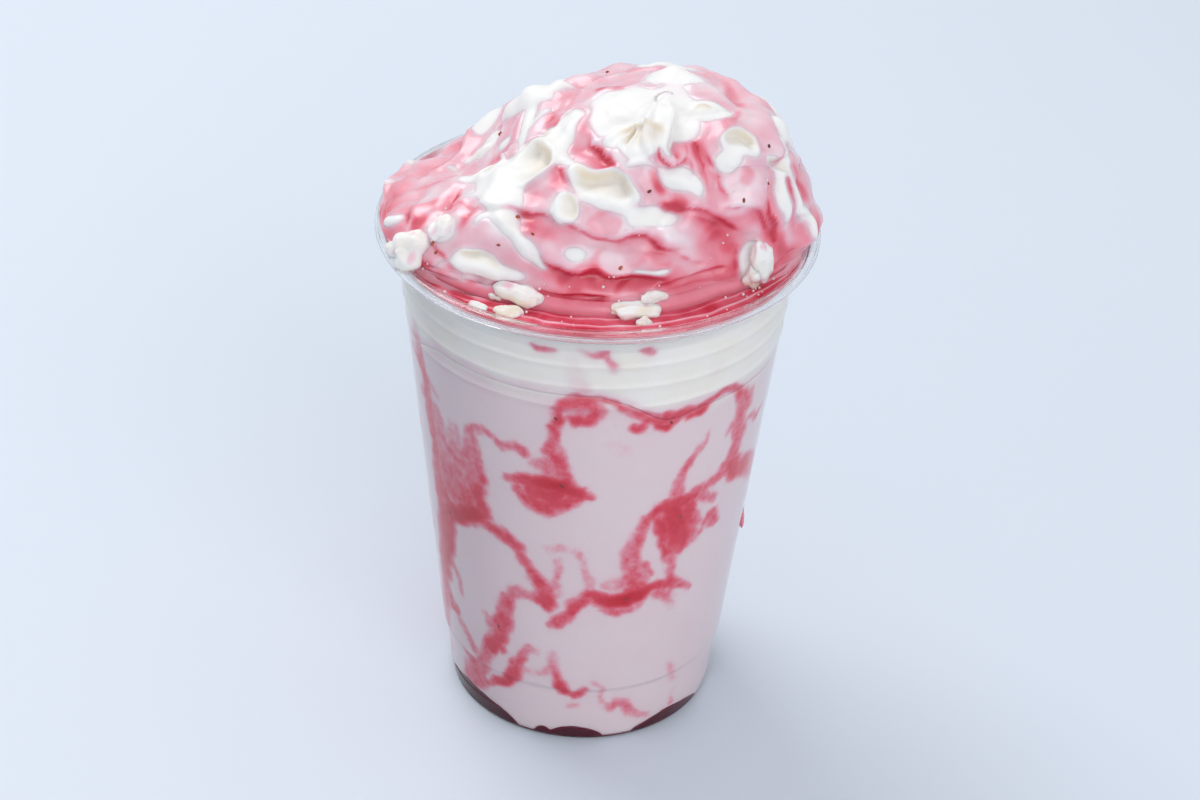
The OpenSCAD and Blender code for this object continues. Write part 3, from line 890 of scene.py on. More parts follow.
# Folds run along the mound and stand highest just above their line: azimuth, rise, width of the
# valley under the fold, how high the fold stands, and how much redder its valley is
FOLDS = [
    [(203, .335, 1.2, .6, .3), (209, .34, 1.0, .7, .3), (216, .355, 1.0, .7, .2),
     (226, .385, 1.2, .9, .45), (232, .385, 1.8, 1.2, .6), (238, .395, 1.6, 1.2, .5),
     (242, .39, 1.3, 1.2, .45), (247, .375, 1.2, 1.2, .4), (254, .36, 1.1, 1.2, .42),
     (261, .355, 1.1, 1.3, .40), (269, .365, 1.0, 1.3, .42), (275, .375, 1.2, 1.3, .5),
     (282, .355, 1.5, 1.3, .55), (289, .305, 1.2, 1.1, .45), (297, .265, 1.0, 1.0, .35),
     (307, .225, .9, .6, .25)],
    [(247, .235, 1.2, .7, .3), (252, .22, 1.8, 1.3, .5), (261, .208, 2.2, 1.5, .62),
     (270, .203, 2.6, 1.6, .7), (280, .205, 2.6, 1.6, .72), (286, .197, 2.0, 1.4, .6),
     (290, .165, 1.2, .9, .4)],
    [(291, .46, 1.8, .9, .75), (296, .452, 1.4, 1.0, .6), (303, .435, 1.0, 1.0, .4),
     (309, .41, 1.0, 1.0, .45), (315, .355, 1.2, 1.0, .55), (319, .325, 1.2, .7, .5)],
    [(298, .425, .8, .5, .3), (306, .39, .8, .6, .35), (313, .345, 1.0, .6, .4)],
    [(316, .425, .9, .8, .3), (321, .42, .9, 1.1, .4), (327, .40, 1.0, 1.1, .5), (330, .36, 1.2, .9, .55),
     (332, .31, 1.4, .7, .5)],
    [(226, .665, 1.4, .9, .5), (231, .65, 1.6, 1.4, .85), (238, .64, 1.7, 1.5, 1.0),
     (245, .625, 1.6, 1.4, .95), (251, .602, 1.5, 1.1, .8), (255, .585, 1.0, .6, .5)],
    [(227, .54, 1.2, .9, .5), (232, .522, 1.3, 1.1, .55), (238, .507, 1.2, .9, .4),
     (243, .49, .8, .5, .2)],
    [(197, .35, 1.3, .6, .5), (201, .335, 1.5, .8, .7), (204, .315, 1.3, .7, .6)],
    [(191, .26, .9, .6, .5), (196, .235, 1.0, .8, .65), (200, .20, 1.3, .8, .7)],
    [(286, .66, 1.0, .6, .6), (288, .63, 1.2, .9, .7), (292, .61, 1.0, .9, .6), (299, .615, .9, .6, .35)],
    [(340, .535, .9, .7, .5), (346, .55, 1.0, .8, .5), (352, .58, .9, .5, .4)],
    [(180, .50, 1.4, .8, .3), (186, .47, 1.6, .9, .35), (191, .46, 1.2, .6, .3)],
    [(176, .66, 1.2, .7, .4), (184, .655, 1.3, .8, .45), (190, .64, 1.0, .5, .3)],
    [(214, .205, 1.0, .5, .35), (219, .165, 1.3, .7, .45), (223, .13, 1.2, .6, .4)],
    [(230, .105, 1.4, .7, .5), (235, .115, 1.6, .9, .6), (240, .095, 1.4, .8, .5)],
    [(252, .035, 1.3, .5, .5), (262, .045, 1.5, .7, .7), (272, .04, 1.5, .7, .7)],
    [(290, .12, 1.0, .5, .2), (301, .145, 1.0, .6, .2), (312, .165, 1.0, .5, .25)],
    [(350, .42, 1.0, .7, .4), (0, .44, 1.4, 1.2, .5), (12, .40, 1.4, 1.3, .6), (26, .39, 1.3, 1.2, .5),
     (40, .42, 1.3, 1.2, .5), (54, .46, 1.2, 1.0, .4), (70, .48, 1.2, 1.1, .5), (88, .50, 1.2, 1.1, .5),
     (104, .47, 1.2, 1.0, .4), (118, .42, 1.2, 1.1, .5), (134, .40, 1.3, 1.2, .5),
     (150, .42, 1.2, .9, .4), (163, .43, 1.0, .6, .3)],
    [(5, .22, 1.3, .8, .4), (20, .26, 1.5, 1.3, .6), (36, .24, 1.6, 1.4, .6), (52, .21, 1.5, 1.3, .5),
     (70, .24, 1.6, 1.4, .6), (88, .25, 1.5, 1.3, .6), (106, .22, 1.5, 1.2, .5), (124, .20, 1.6, 1.3, .6),
     (142, .22, 1.5, 1.2, .5), (160, .24, 1.3, .9, .4), (172, .22, 1.0, .5, .3)],
    [(20, .66, 1.2, .8, .5), (40, .70, 1.4, 1.2, .6), (62, .73, 1.3, 1.1, .5), (88, .72, 1.3, 1.1, .6),
     (112, .67, 1.3, 1.2, .6), (134, .66, 1.2, .9, .4), (150, .68, 1.0, .6, .3)],
]

# Folds that run up or down the slope, with the valley on the right of each route
PLEATS = [
    [(293, .635, .9, .8, .6), (292, .68, 1.6, 1.6, .4), (293.5, .74, 2.2, 2.2, .25),
     (295, .80, 2.2, 2.0, .2), (297, .86, 1.6, 1.0, .1)],
    [(309, .69, 1.0, .7, .3), (310.5, .64, 1.0, .9, .35), (311, .57, 1.0, .8, .3), (311, .50, .9, .5, .2)],
    [(315, .61, 1.0, .8, .4), (316, .55, 1.1, 1.0, .4), (316, .48, 1.0, .7, .4)],
    [(334, .40, .9, .6, .4), (333.5, .35, 1.2, .9, .8), (335, .29, 1.4, .8, .6), (333, .22, 1.3, .6, .5)],
    [(342.5, .46, .8, .7, .6), (343, .38, .9, .9, .7), (343, .28, .9, .8, .7)],
    [(319, .24, 1.0, .6, .4), (318.5, .17, 1.1, .6, .5), (319, .10, 1.0, .4, .4)],
    [(302, .66, .8, .5, .15), (303, .58, .8, .6, .2), (304, .50, .8, .5, .2)],
]

# White cream drawn out along a line: azimuth, rise, half width, height, how bare
STRANDS = [
    [(192, .675, 2.4, .5, .8), (200, .645, 3.4, .8, .95), (210, .605, 3.2, 1.1, 1.0),
     (219, .582, 2.6, 1.2, 1.0), (228, .565, 1.8, 1.0, .95), (236, .56, 1.2, .7, .7),
     (243, .565, .7, .4, .4)],
    [(221, .345, 1.0, .7, .8), (226, .345, 1.3, 1.1, 1.0), (232, .325, 1.4, 1.3, 1.0),
     (238, .285, 1.4, 1.4, 1.0), (243, .245, 1.3, 1.3, 1.0), (248.5, .205, .7, .8, .8)],
    [(289, .59, 1.4, .4, .6), (294, .57, 2.1, .6, .85), (299, .535, 2.3, .7, .9), (303, .50, 1.7, .5, .8)],
    [(297.5, .88, 1.0, .3, .9), (294.5, .82, 1.2, .5, 1.0), (292.5, .75, 1.2, .5, 1.0),
     (291, .69, 1.1, .4, 1.0), (291.5, .65, .7, .2, .8)],
    [(262, .60, .8, .5, .5), (270, .615, 1.0, .6, .7), (279, .61, .9, .5, .6), (286, .60, .7, .4, .5)],
    [(166, .63, 1.0, .5, .6), (172, .58, 1.0, .5, .6), (178, .55, .8, .4, .5)],
]

# Where the sauce is redder or paler than elsewhere: azimuth, rise, heading, half length, half width,
# and how much redder
TONES = [
    (183, .455, 20, 5.0, 3.0, .32), (180, .635, 0, 4.5, 2.0, .35), (204, .225, 330, 3.0, 2.2, .55),
    (196, .19, 60, 2.6, 1.6, .35), (190, .05, 0, 9.0, 4.0, .30), (197, .27, 80, 3.0, 1.4, .30),
    (178, .15, 0, 9.0, 3.0, .22), (236, .345, 350, 6.0, 3.0, .26), (247, .33, 350, 6.0, 2.6, .20),
    (236, .105, 0, 3.6, 2.2, .40), (217, .04, 0, 5.0, 2.0, .45), (262, .17, 0, 13.0, 3.0, .22),
    (280, .155, 0, 9.0, 2.6, .22), (262, .03, 0, 12.0, 2.0, .24), (292, .455, 350, 3.0, 1.6, .40),
    (287, .55, 280, 3.4, 1.8, .55), (307, .36, 345, 6.0, 3.4, .26), (313, .24, 350, 7.0, 5.0, .26),
    (318, .06, 0, 8.0, 3.4, .30), (334, .24, 85, 5.0, 3.0, .36), (335, .10, 85, 5.0, 4.0, .28),
    (349, .12, 0, 7.0, 5.0, .26), (351, .38, 95, 6.0, 2.0, .30), (311, .55, 85, 9.0, 2.4, .26),
    (303, .74, 280, 9.0, 3.4, .20), (238, .605, 350, 7.0, 1.4, .10), (232, .46, 60, 3.0, 1.8, .14),
    (236, .485, 330, 4.0, 1.6, .20), (205, .695, 0, 5.0, 2.4, .18), (340, .76, 0, 5.0, 1.6, .30),
    (20, .80, 0, 6.0, 1.8, .30), (323, .35, 0, 6.0, 2.6, .24), (300, .10, 350, 8.0, 3.0, .20),
    (190, .30, 20, 5.0, 2.4, -.10), (197, .36, 10, 6.0, 2.0, -.10), (170, .57, 0, 8.0, 3.4, -.14),
    (186, .12, 30, 8.0, 5.0, .16),
    (265, .30, 0, 9.0, 3.0, -.16), (293, .36, 350, 8.0, 3.0, -.14), (272, .42, 0, 9.0, 2.6, -.16),
    (324, .47, 0, 6.5, 3.4, -.16), (190, .78, 0, 7.0, 3.6, -.18), (350, .74, 0, 6.0, 4.0, -.12),
    (222, .25, 320, 5.0, 1.6, -.10), (250, .61, 350, 5.0, 1.2, -.16), (303, .80, 280, 6.0, 3.0, -.04),
]


SHAPE_DEPTH = 7.0       # how far inwards and outwards a small shape is felt
FOLD_REACH = 3.6        # how far a fold swells above its line
FOLD_EDGE = 0.7         # how wide the step from the fold down to its valley is
FOLD_END = 1.0          # how far a fold goes on past the ends of its route


def profile(kind, s, t):
    """Height of a small shape of unit size at s along it and t across it, how far it reaches, and
    how tan it is: for a scoop that tan is painted shade inside the hollow and under its upper edge.
    lobe: round with steep sides. smear: soft. scoop: a hollow under a raised lip."""
    rho = np.sqrt(s * s + t * t)
    if kind == "lobe":
        full = np.clip(1 - np.abs(s) ** 2.6 - t * t, 0, 1)
        return 0.85 * full, smooth((1.15 - rho) * 2.4), 0 * s
    if kind == "smear":
        full = np.clip(1 - rho * rho, 0, 1)
        return 0.5 * full**2, smooth(full * 1.5), 0 * s
    lip = bell(rho - 1.08, 0.17) * smooth(t + 0.9)
    hollow = smooth((1.02 - rho) / (0.28 + 0.5 * smooth(0.5 - t)))
    # painted shade: tan under the scoop's upper edge and inside its hollow, where the hollow lies in shade
    tan = bell(rho - 0.93, 0.13) * smooth(t * 1.6) + 0.45 * hollow * smooth(t + 0.7)
    return 0.5 * lip - hollow * (0.5 + 0.45 * t), smooth((1.35 - rho) * 2.6), tan


def along_route(spots, route):
    """For each spot: its distance to a route over the mound, above 0 on the left of its direction,
    how far it lies past the route's ends, and the route's own numbers at the nearest place."""
    best = np.full(spots.shape[:-1], np.inf)
    side = np.zeros_like(best)
    past = np.zeros_like(best)
    numbers = np.zeros((len(route[0]) - 2, *best.shape))
    for here, ahead in zip(route, route[1:]):
        start = mound(*here[:2])
        stretch = mound(*ahead[:2]) - start
        length = np.linalg.norm(stretch)
        heading = stretch / length
        left = np.cross(tangents(*here[:2])[2], heading)
        gap = spots - start
        run = gap @ heading
        t = np.clip(run / length, 0, 1)
        before = np.clip(-run, 0, None) * (here is route[0])
        beyond = np.clip(run - length, 0, None) * (ahead is route[-1])
        gap = gap - t[..., None] * stretch
        far = np.linalg.norm(gap, axis=-1)
        near = far < best
        best = np.where(near, far, best)
        side = np.where(near, gap @ left, side)
        past = np.where(near, before + beyond, past)
        for index, (first, second) in enumerate(zip(here[2:], ahead[2:])):
            numbers[index] = np.where(near, first + (second - first) * t, numbers[index])
    return np.where(side < 0, -best, best), past, numbers


def laid_out(spots, az, rise, heading, length, width):
    """Coordinates of spots in a small shape's own frame, along its heading and across it, in half
    lengths and half widths. Spots on another side of the mound are pushed far away."""
    along, across, outward = axes_on_mound(az, rise, heading)
    gap = spots - mound(az, rise)
    beyond = np.clip(np.abs(gap @ outward) - SHAPE_DEPTH, 0, None)
    return gap @ along / length + beyond, gap @ across / width


def mound_fields(spots):
    """Relief of the cream, how bare of sauce it is, how red the sauce is and how tan the cream (painted
    shade in the scoops), over the mound's grid: the sum of all small shapes, folds and strands, wavered a
    little."""
    relief, bare, red, tan = (np.zeros(spots.shape[:-1]) for _ in range(4))
    wobble = np.stack([waves(spots, 9, 41 + k) for k in range(3)], -1) * 0.7
    wobble += np.stack([waves(spots, 4.5, 51 + k) for k in range(3)], -1) * 0.2
    wavered = spots + wobble
    for az, rise, heading, length, width, amount in TONES:
        s, t = laid_out(wavered, az, rise, heading, length, width)
        red += amount * smooth(1.35 - np.hypot(s, t))
    for kind, az, rise, heading, length, width, height, clear in SHAPES:
        s, t = laid_out(wavered, az, rise, heading, length, width)
        shape, mask, warm_and_shaded = profile(kind, s, t)
        relief += height * shape
        bare = np.maximum(bare, clear * mask)
        # the scoops' tan, which is painted shade
        tan = np.maximum(tan, warm_and_shaded)
    for route in FOLDS + PLEATS:
        gap, past, (width, height, amount) = along_route(wavered, route)
        height = height * bell(past, FOLD_END)
        above = bell(gap, FOLD_REACH) * smooth(gap / FOLD_EDGE + 0.5)
        below = bell(gap + 0.35 * width, 1.25 * width) * smooth(0.5 - gap / FOLD_EDGE)
        relief += height * (0.55 * above - 0.75 * below)
        spread = bell(gap, 2.4 * width) * (gap < 0.2)
        line = bell(gap + 0.2, 0.30 * width + 0.2)
        red += amount * (0.85 * line + 0.24 * spread)
        bare = bare * (1 - 0.9 * smooth(amount * 2) * line)
    for route in STRANDS:
        gap, _, (width, height, clear) = along_route(wavered, route)
        full = np.clip(1 - (gap / width) ** 2, 0, 1)
        relief += height * full**0.75
        bare = np.maximum(bare, clear * smooth((1.35 - np.abs(gap) / width) * 2.2))
    return relief, bare, red, tan


def mound_grid():
    """The mound's rows, closer together near the peak: rises, points, outward directions and the
    fields that cream and glaze share."""
    close_from, last = 0.9, 0.992
    rises = np.concatenate([np.linspace(0, close_from, 152), np.linspace(close_from, last, 16)[1:]])
    a, u = np.meshgrid(AZ, rises)
    spots = mound(a, u)
    round_way = np.roll(spots, -1, 1) - np.roll(spots, 1, 1)
    up_way = np.gradient(spots, axis=0)
    outward = np.cross(round_way, up_way)
    outward /= np.linalg.norm(outward, axis=-1, keepdims=True)
    return u, spots, outward, *mound_fields(spots)


U, SPOTS, OUTWARD, RELIEF, BARE, RED, TAN_AND_SHADE = mound_grid()
FROM_POLE = np.linalg.norm(SPOTS - SPOTS[-1].mean(0), axis=-1)
CALM_R = 5.0
SKIN_T = 0.32       # thickness of the sauce's coat


def calm(field):
    """A field drawn towards one value near the pole, its mean on a ring about the pole, so that the
    peak closes smoothly."""
    ring = np.abs(FROM_POLE - CALM_R) < 1.5
    return field + (field[ring].mean() - field) * smooth(1.2 - FROM_POLE / CALM_R)


# 0 at the mound's lowest edge and 1 a little above it
EDGE = smooth(U / 0.05)
# uneven swelling of three sizes
LUMPS = 0.65 * waves(SPOTS, 15, 60) + 0.22 * waves(SPOTS, 6.5, 61) + 0.03 * waves(SPOTS, 2.6, 62)
CREAM_H = calm(EDGE * (soften(RELIEF, 2) + LUMPS - 0.9))
# how far the cream lies below its surroundings
HOLLOW = soften(CREAM_H, 80) - CREAM_H
BARE = calm(np.clip(soften(BARE, 3), 0, 1))
TONE = 0.32 + 0.88 * RED + 0.06 * HOLLOW + 0.07 * waves(SPOTS, 10, 63) + 0.03 * waves(SPOTS, 4, 64)
# sauce gathers at the foot of the slope in front, and the peak is paler
TONE = TONE + 0.07 * (1 - smooth(U / 0.25)) - 0.06 * smooth((U - 0.6) / 0.3)
TONE = calm(np.clip(TONE, 0.08, 1) * (1 - smooth(BARE * 1.2)))
# thickness of the coat, below 0 where it lies inside the cream
COAT = SKIN_T * (1 - 2.3 * smooth(BARE * 1.15))


def make_cream():
    """The cream: rows closed round the cup that follow the shake's top out to the wall, the wall up
    to the pool's bed, then a ledge, and the mound's formula with its relief added outwards."""
    low = meet_z(AZ)
    wet = pooled(AZ)
    bed_z = POOL_Z - (POOL_DEPTH + 0.3) * wet
    wall_z = low - 0.05 + (bed_z - low) * np.linspace(0, 1, CREAM_ROWS)[:, None]
    side = point(AZ, filled_r(wall_z), wall_z)
    rows = [meet(AZ, share) - [0, 0, 0.1] for share in MEET_SHARES]
    wall = slice(len(rows), len(rows) + CREAM_ROWS)
    rows += list(side)
    foot_r = foot_radius(AZ)
    over_z = CUP_H + OVER_RIM
    bed_r = (inner_r(bed_z) + foot_r) / 2
    rows.append(point(AZ, bed_r, bed_z - 1.4 * wet))
    ledge_r = np.minimum(foot_r + 0.3, BEAD_IN_R - OVER_RIM)
    rows.append(point(AZ, ledge_r + 0.2 * wet, np.minimum(POOL_Z - 1.0 * wet, over_z - 0.4)))
    rows.append(point(AZ, ledge_r - 0.3 * wet, over_z))
    ledge = slice(wall.stop, len(rows))
    rows += list(SPOTS + OUTWARD * CREAM_H[..., None])
    fields = {key: np.zeros((len(rows), N_AZ)) for key in ("sauce", "tone", "tan")}
    fields["sauce"][wall] = sauce_on_wall(np.broadcast_to(AZ, wall_z.shape), wall_z)
    reach = 4.0 + 1.5 * waves(side, 9, 33)
    fields["tone"][wall] = 0.13 * (1 - smooth((wall_z - low) / reach.clip(1.0)))
    fields["tone"][ledge] = 0.45
    fields["tone"][ledge.stop:] = TONE
    fields["tan"][wall] = 0.16 + 0.06 * waves(side, 8, 34)
    # the mound's tan, with painted shade in the scoops' hollows
    fields["tan"][ledge.stop:] = TAN_AND_SHADE
    points, faces = skin(rows)
    fields = {key: with_poles(values) for key, values in fields.items()}
    piece = make_piece("cream_mound", points, faces, CREAM, fields)
    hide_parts("whipped_cream")


def make_glaze():
    """The sauce over the mound: the softened cream's surface moved outwards by the coat, which is
    below 0 where cream is bare, with a hem that dips into the pool."""
    height = soften(CREAM_H, 1) + COAT * EDGE.clip(0.3)
    cover = SPOTS + OUTWARD * height[..., None]
    wet = pooled(AZ)
    foot = mound(AZ, 0.0)
    foot_r = foot_radius(AZ)
    over_z = CUP_H + OVER_RIM
    hem = point(AZ, foot_r - 0.6 + 2.8 * wet, over_z - (over_z - POOL_Z + 1.2) * wet)
    shin = point(AZ, foot_r - 0.1 + 1.3 * wet, CUP_H + 1.5 * OVER_RIM - 0.9 * wet)
    inside = foot * [0.9, 0.9, 1.0] - [0, 0, 2.0]
    centre = foot * [0.05, 0.05, 1.0] - [0, 0, 2.0]
    rows = [centre, inside, hem, shin, *cover]
    tone = np.full((len(rows), N_AZ), 0.6)
    tone[-len(cover):] = TONE
    points, faces = skin(rows)
    piece = make_piece("strawberry_glaze", points, faces, glaze_finish(), {"tone": with_poles(tone)})


def make_pool():
    """The pooled sauce: a crescent whose section is closed, with its level edge creeping up at the
    wall and at the cream, shallow rings in its surface, and both ends drawn to a point."""
    ends = np.linspace(POOL_FROM, POOL_TO, 236)
    wet = pooled(ends)
    outer = inner_r(POOL_Z) + SINK
    inner = np.minimum(foot_radius(ends) - 1.6, outer - 1.0)
    across = np.linspace(0, 1, 33)[:, None]
    r = outer + (inner - outer) * across
    flat = point(ends, r, np.zeros_like(r))
    drift = across + 0.05 * waves(flat, 22, 73) + 0.012 * waves(flat, 5, 74)
    rings = sum(height * bell(drift - place, width) for place, width, height in RINGS)
    level = POOL_Z - 0.25 + 0.5 * np.exp(-across * 9) + 0.9 * smooth((across - 0.72) / 0.28)
    top = point(ends, r, level + 0.12 * waves(flat, 5, 71) + 0.25 * rings * wet)
    floor = np.linspace(1, 0, 6)[:, None]
    floor_r = outer + (inner - outer) * floor
    floor_z = POOL_Z - (POOL_DEPTH + 1.2) * wet * np.sin(math.pi * (0.25 + 0.6 * floor)) - 0.3
    bottom = point(ends, np.minimum(floor_r, inner_r(floor_z) + SINK), floor_z)
    section = np.vstack([bottom, top])
    points, faces = skin(section.transpose(1, 0, 2))
    left = bump(ends, 225, 38)
    # painted sheen: paler patches on the pool's left that stand in for light mirrored off the wet sauce
    painted_sheen = smooth(waves(flat, 6, 75) * 0.8 + 0.1) * left
    tone = 0.90 + 0.10 * waves(flat, 7, 76) - 0.6 * rings * (1 - 0.6 * left) - 0.45 * painted_sheen
    tone -= 0.25 * smooth((drift - 0.7) / 0.2) + 0.12 * smooth(waves(flat, 9, 77))
    values = np.full(section.shape[:2], 0.5)
    values[len(bottom):] = np.clip(tone, 0.15, 1)
    values = np.concatenate([values.T.ravel(), [0.5, 0.5]])
    piece = make_piece("pooled_sauce", points, faces, POOL, {"tone": values})
    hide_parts("rim_sauce")


# -------------------------------------------------------------------- loose bits of cream and seeds

def blob(centre, axes, half, seed, rough, square=0.9, rows=24, columns=36, ribs=0.0):
    """A rounded lump: a superellipsoid on three axes, roughened by waves along its own surface, with
    ribs that run along its first axis."""
    v = np.linspace(-math.pi / 2, math.pi / 2, rows + 2)[1:-1, None]
    w = np.linspace(0, TAU, columns, endpoint=False)[None, :]

    def power(x):
        """A power that keeps the sign: below 1 it makes the lump squarer."""
        return np.sign(x) * np.abs(x) ** square

    unit = np.stack(np.broadcast_arrays(
        power(np.cos(v)) * power(np.cos(w)), power(np.cos(v)) * power(np.sin(w)), power(np.sin(v)) + 0 * w
    ), -1)
    smooth_lump = unit * np.array(half)
    coarse = waves(smooth_lump, max(half) * 0.8, seed)
    fine = waves(smooth_lump, max(half) * 0.3, seed + 1)
    local = smooth_lump * (1 + rough * (coarse + 0.3 * fine))[..., None]
    local[..., 2] += ribs * np.sin(TAU * (local[..., 1] / RIB_STEP + 0.1 * np.sin(local[..., 0])))
    return centre + local @ np.asarray(axes)


def on_mound(az, rise, heading, lift):
    """Centre and axes of a lump that sits on the mound: along its heading, across it, and outwards."""
    axes = axes_on_mound(az, rise, heading)
    return mound(az, rise) + axes[2] * lift, axes


def in_pool(az, r, lift, heading):
    """Centre and axes of a lump that floats in the pool."""
    along = point(az + 90 + heading, 1.0, 0.0)
    across = point(az + 180 + heading, 1.0, 0.0)
    return point(az, r, POOL_Z + lift), np.array([along, across, [0, 0, 1.0]])


def axes_on_wall(az):
    """Axes of a lump on the wall: upwards, round to the left, and outwards."""
    return np.array([[0, 0, 1.0], point(az + 90, 1.0, 0.0), point(az, 1.0, 0.0)])


# azimuth, rise, heading, lift, half sizes, seed
LUMPS_ON_MOUND = [
    (209.5, .11, 55, .9, (5.0, 4.2, 3.0), 101), (205.5, .05, 15, 1.0, (3.6, 1.9, 2.0), 102),
    (213, .245, 80, 1.4, (3.0, 2.0, 1.6), 103), (326, .15, 85, 1.0, (4.6, 3.2, 1.6), 104),
    (324, .07, 60, 1.2, (3.0, 2.6, 1.6), 105), (289, .045, 0, .2, (3.0, 1.5, 1.2), 106),
    (62, .05, 0, 1.0, (4.4, 2.4, 2.0), 110), (110, .03, 0, 1.0, (3.6, 2.2, 1.8), 111),
]
# azimuth, radius, lift, heading, half sizes, seed
LUMPS_AND_SHEEN_IN_POOL = [
    (283.2, 37.4, 1.0, 0, (6.0, 2.8, 1.4), 121), (284.5, 41.6, .1, 10, (1.5, 1.0, .8), 122),
    # the two flat pale patches, seeds 123 and 124, are painted sheen: pale cream put where the pool
    # mirrors light
    (244.8, 42.6, .1, 0, (3.0, 1.9, .8), 123), (236.5, 43.8, -.1, 0, (2.2, 1.4, .6), 124),
    (237, 39.0, .5, 10, (1.8, 1.1, .9), 125), (244.8, 37.4, 1.7, 0, (5.6, 2.4, 1.9), 126),
]


def make_lumps():
    """Curls and lumps of cream that lie on the mound and float in the sauce, two of them flat patches of
    painted sheen:
    one blob for each entry of the two lists, with seeded waves of tan and of pink over all of them."""
    shapes = []
    for az, rise, heading, lift, half, seed in LUMPS_ON_MOUND:
        centre, axes = on_mound(az, rise, heading, lift)
        shapes.append(blob(centre, axes, half, seed, 0.16))
    for az, r, lift, heading, half, seed in LUMPS_AND_SHEEN_IN_POOL:
        centre, axes = in_pool(az, r, lift, heading)
        shapes.append(blob(centre, axes, half, seed, 0.18, ribs=0.22))
    points, faces = gather(shapes)
    zero = np.zeros(len(points))
    warm_and_shaded = smooth(0.5 + 0.8 * waves(points, 5, 131)) * (0.25 + 0.6 * (points[:, 2] < POOL_Z + 2.2))
    stain = smooth(waves(points, 4, 132) - 0.4) * 0.25
    fields = {"sauce": zero, "tan": warm_and_shaded, "tone": stain}
    piece = make_piece("cream_lumps_and_sheen", points, faces, CREAM, fields, level=1)


# azimuth, rise and heading
SEEDS = [
    (281, .52, 30), (321, .43, 60), (335, .47, 80), (229, .37, 20), (239, .32, 340), (231, .26, 10),
    (213, .19, 300), (192, .46, 50), (345, .60, 20), (20, .40, 10), (50, .55, 60), (80, .30, 100),
    (105, .60, 20), (130, .42, 80), (160, .45, 140), (30, .20, 40), (275, .24, 50), (216, .16, 80),
]
# azimuth and height
WALL_SEEDS = [
    (295, 94.5), (260, 96.5), (262, 78), (303, 66), (286, 44.5), (215, 57), (237, 31), (350, 70), (60, 62),
]
# how seeds and bubbles are made by blob
GRAIN = {"rough": 0.05, "square": 0.95, "rows": 6, "columns": 10}
BUBBLE = {"rough": 0.02, "square": 1.0, "rows": 6, "columns": 10}
BUBBLES_TRIED = 90
RIB_STEP = 1.9          # from one rib of a curl of cream to the next


def make_bubbles():
    """Small pale bubbles on the sauce, whose pale colour also paints glints: balls half sunk in seeded
    random places. Every third lies in the pool, and the others lie on the coat, more of them low down,
    where cream isn't bare."""
    rng = np.random.default_rng(77)
    shapes = []
    for index in range(BUBBLES_TRIED):
        az = 200 + 155 * rng.random()
        size = 0.16 + 0.2 * rng.random() ** 2
        if index % 3:
            line = int(rng.random() ** 1.6 * 90)
            column = int(az * N_AZ / 360) % N_AZ
            if BARE[line, column] > 0.1:
                continue
            height = CREAM_H[line, column] + COAT[line, column]
            centre = SPOTS[line, column] + OUTWARD[line, column] * height
        else:
            inwards = 0.6 + (POOL_W - 1.5) * rng.random() * pooled(az)
            centre = point(az, inner_r(POOL_Z) - inwards, POOL_Z)
        shapes.append(blob(centre, np.eye(3), (size, size, size), 400 + index, **BUBBLE))
    points, faces = gather(shapes)
    # painted glint: the bubbles' pale tone makes pale dots where the wet sauce shows small highlights
    piece = make_piece("sauce_bubbles_and_glints", points, faces, POOL, {"tone": np.full(len(points), 0.12)})


def make_seeds():
    """Strawberry seeds in the sauce: long flat blobs, one for each entry of the two lists. Those on
    the wall all lean the same way."""
    lean = np.array([[0.8, -0.6, 0], [0.6, 0.8, 0], [0, 0, 1.0]])
    shapes = []
    for index, (az, rise, heading) in enumerate(SEEDS):
        column = int(round(az * N_AZ / 360)) % N_AZ
        line = np.abs(U[:, 0] - rise).argmin()
        lift = CREAM_H[line, column] + max(0, COAT[line, column]) + 0.05
        centre, axes = on_mound(az, rise, heading, lift)
        long = 0.5 + 0.1 * math.sin(index * 2.4)
        shapes.append(blob(centre, axes, (long, long * 0.65, 0.3), 200 + index, **GRAIN))
    for index, (az, z) in enumerate(WALL_SEEDS):
        centre = point(az, inner_r(z) + SINK, z)
        shapes.append(blob(centre, lean @ axes_on_wall(az), (0.6, 0.36, 0.16), 240 + index, **GRAIN))
    points, faces = gather(shapes)
    piece = make_piece("strawberry_seeds", points, faces, seed_finish())


def make_drip():
    """A drop of sauce that has run down the outside of the wall: a long blob with a thinner one
    above it."""
    az, z = 353.0, 46.2
    axes = axes_on_wall(az)
    centre = point(az, inner_r(z) + WALL_T + 0.25, z)
    points, faces = gather([
        blob(centre, axes, (2.2, 0.9, 0.45), 301, 0.06, 0.9),
        blob(centre + [0, 0, 3.6], axes, (2.4, 0.4, 0.25), 302, 0.06, 0.9),
    ])
    piece = make_piece("sauce_drip", points, faces, POOL, {"tone": np.full(len(points), 0.6)})


# ------------------------------------------------------------------------------ stage, light, camera

def make_floor():
    """A plain pale table top under the drink: one square."""
    f = Finish("pale_floor")
    cloud = f.noise(f.place(), size=160.0, detail=3.0)
    colour = f.mix(cloud, (0.68, 0.745, 0.845), (0.65, 0.72, 0.825))
    material = f.finish(f.surface(Base_Color=colour, Roughness=0.55))
    far = 15.0
    square = [(-far, -far, 0), (far, -far, 0), (far, far, 0), (-far, far, 0)]
    mesh = bpy.data.meshes.new("floor")
    mesh.from_pydata(square, [], [(0, 1, 2, 3)])
    mesh.materials.append(material)
    floor = bpy.data.objects.new("floor", mesh)
    bpy.context.scene.collection.objects.link(floor)


MIDDLE = (0, 0, 0.09)


def look_at(item, target):
    """Turns a lamp so that it shines at a point."""
    item.rotation_euler = (Vector(target) - item.location).to_track_quat("-Z", "Y").to_euler()


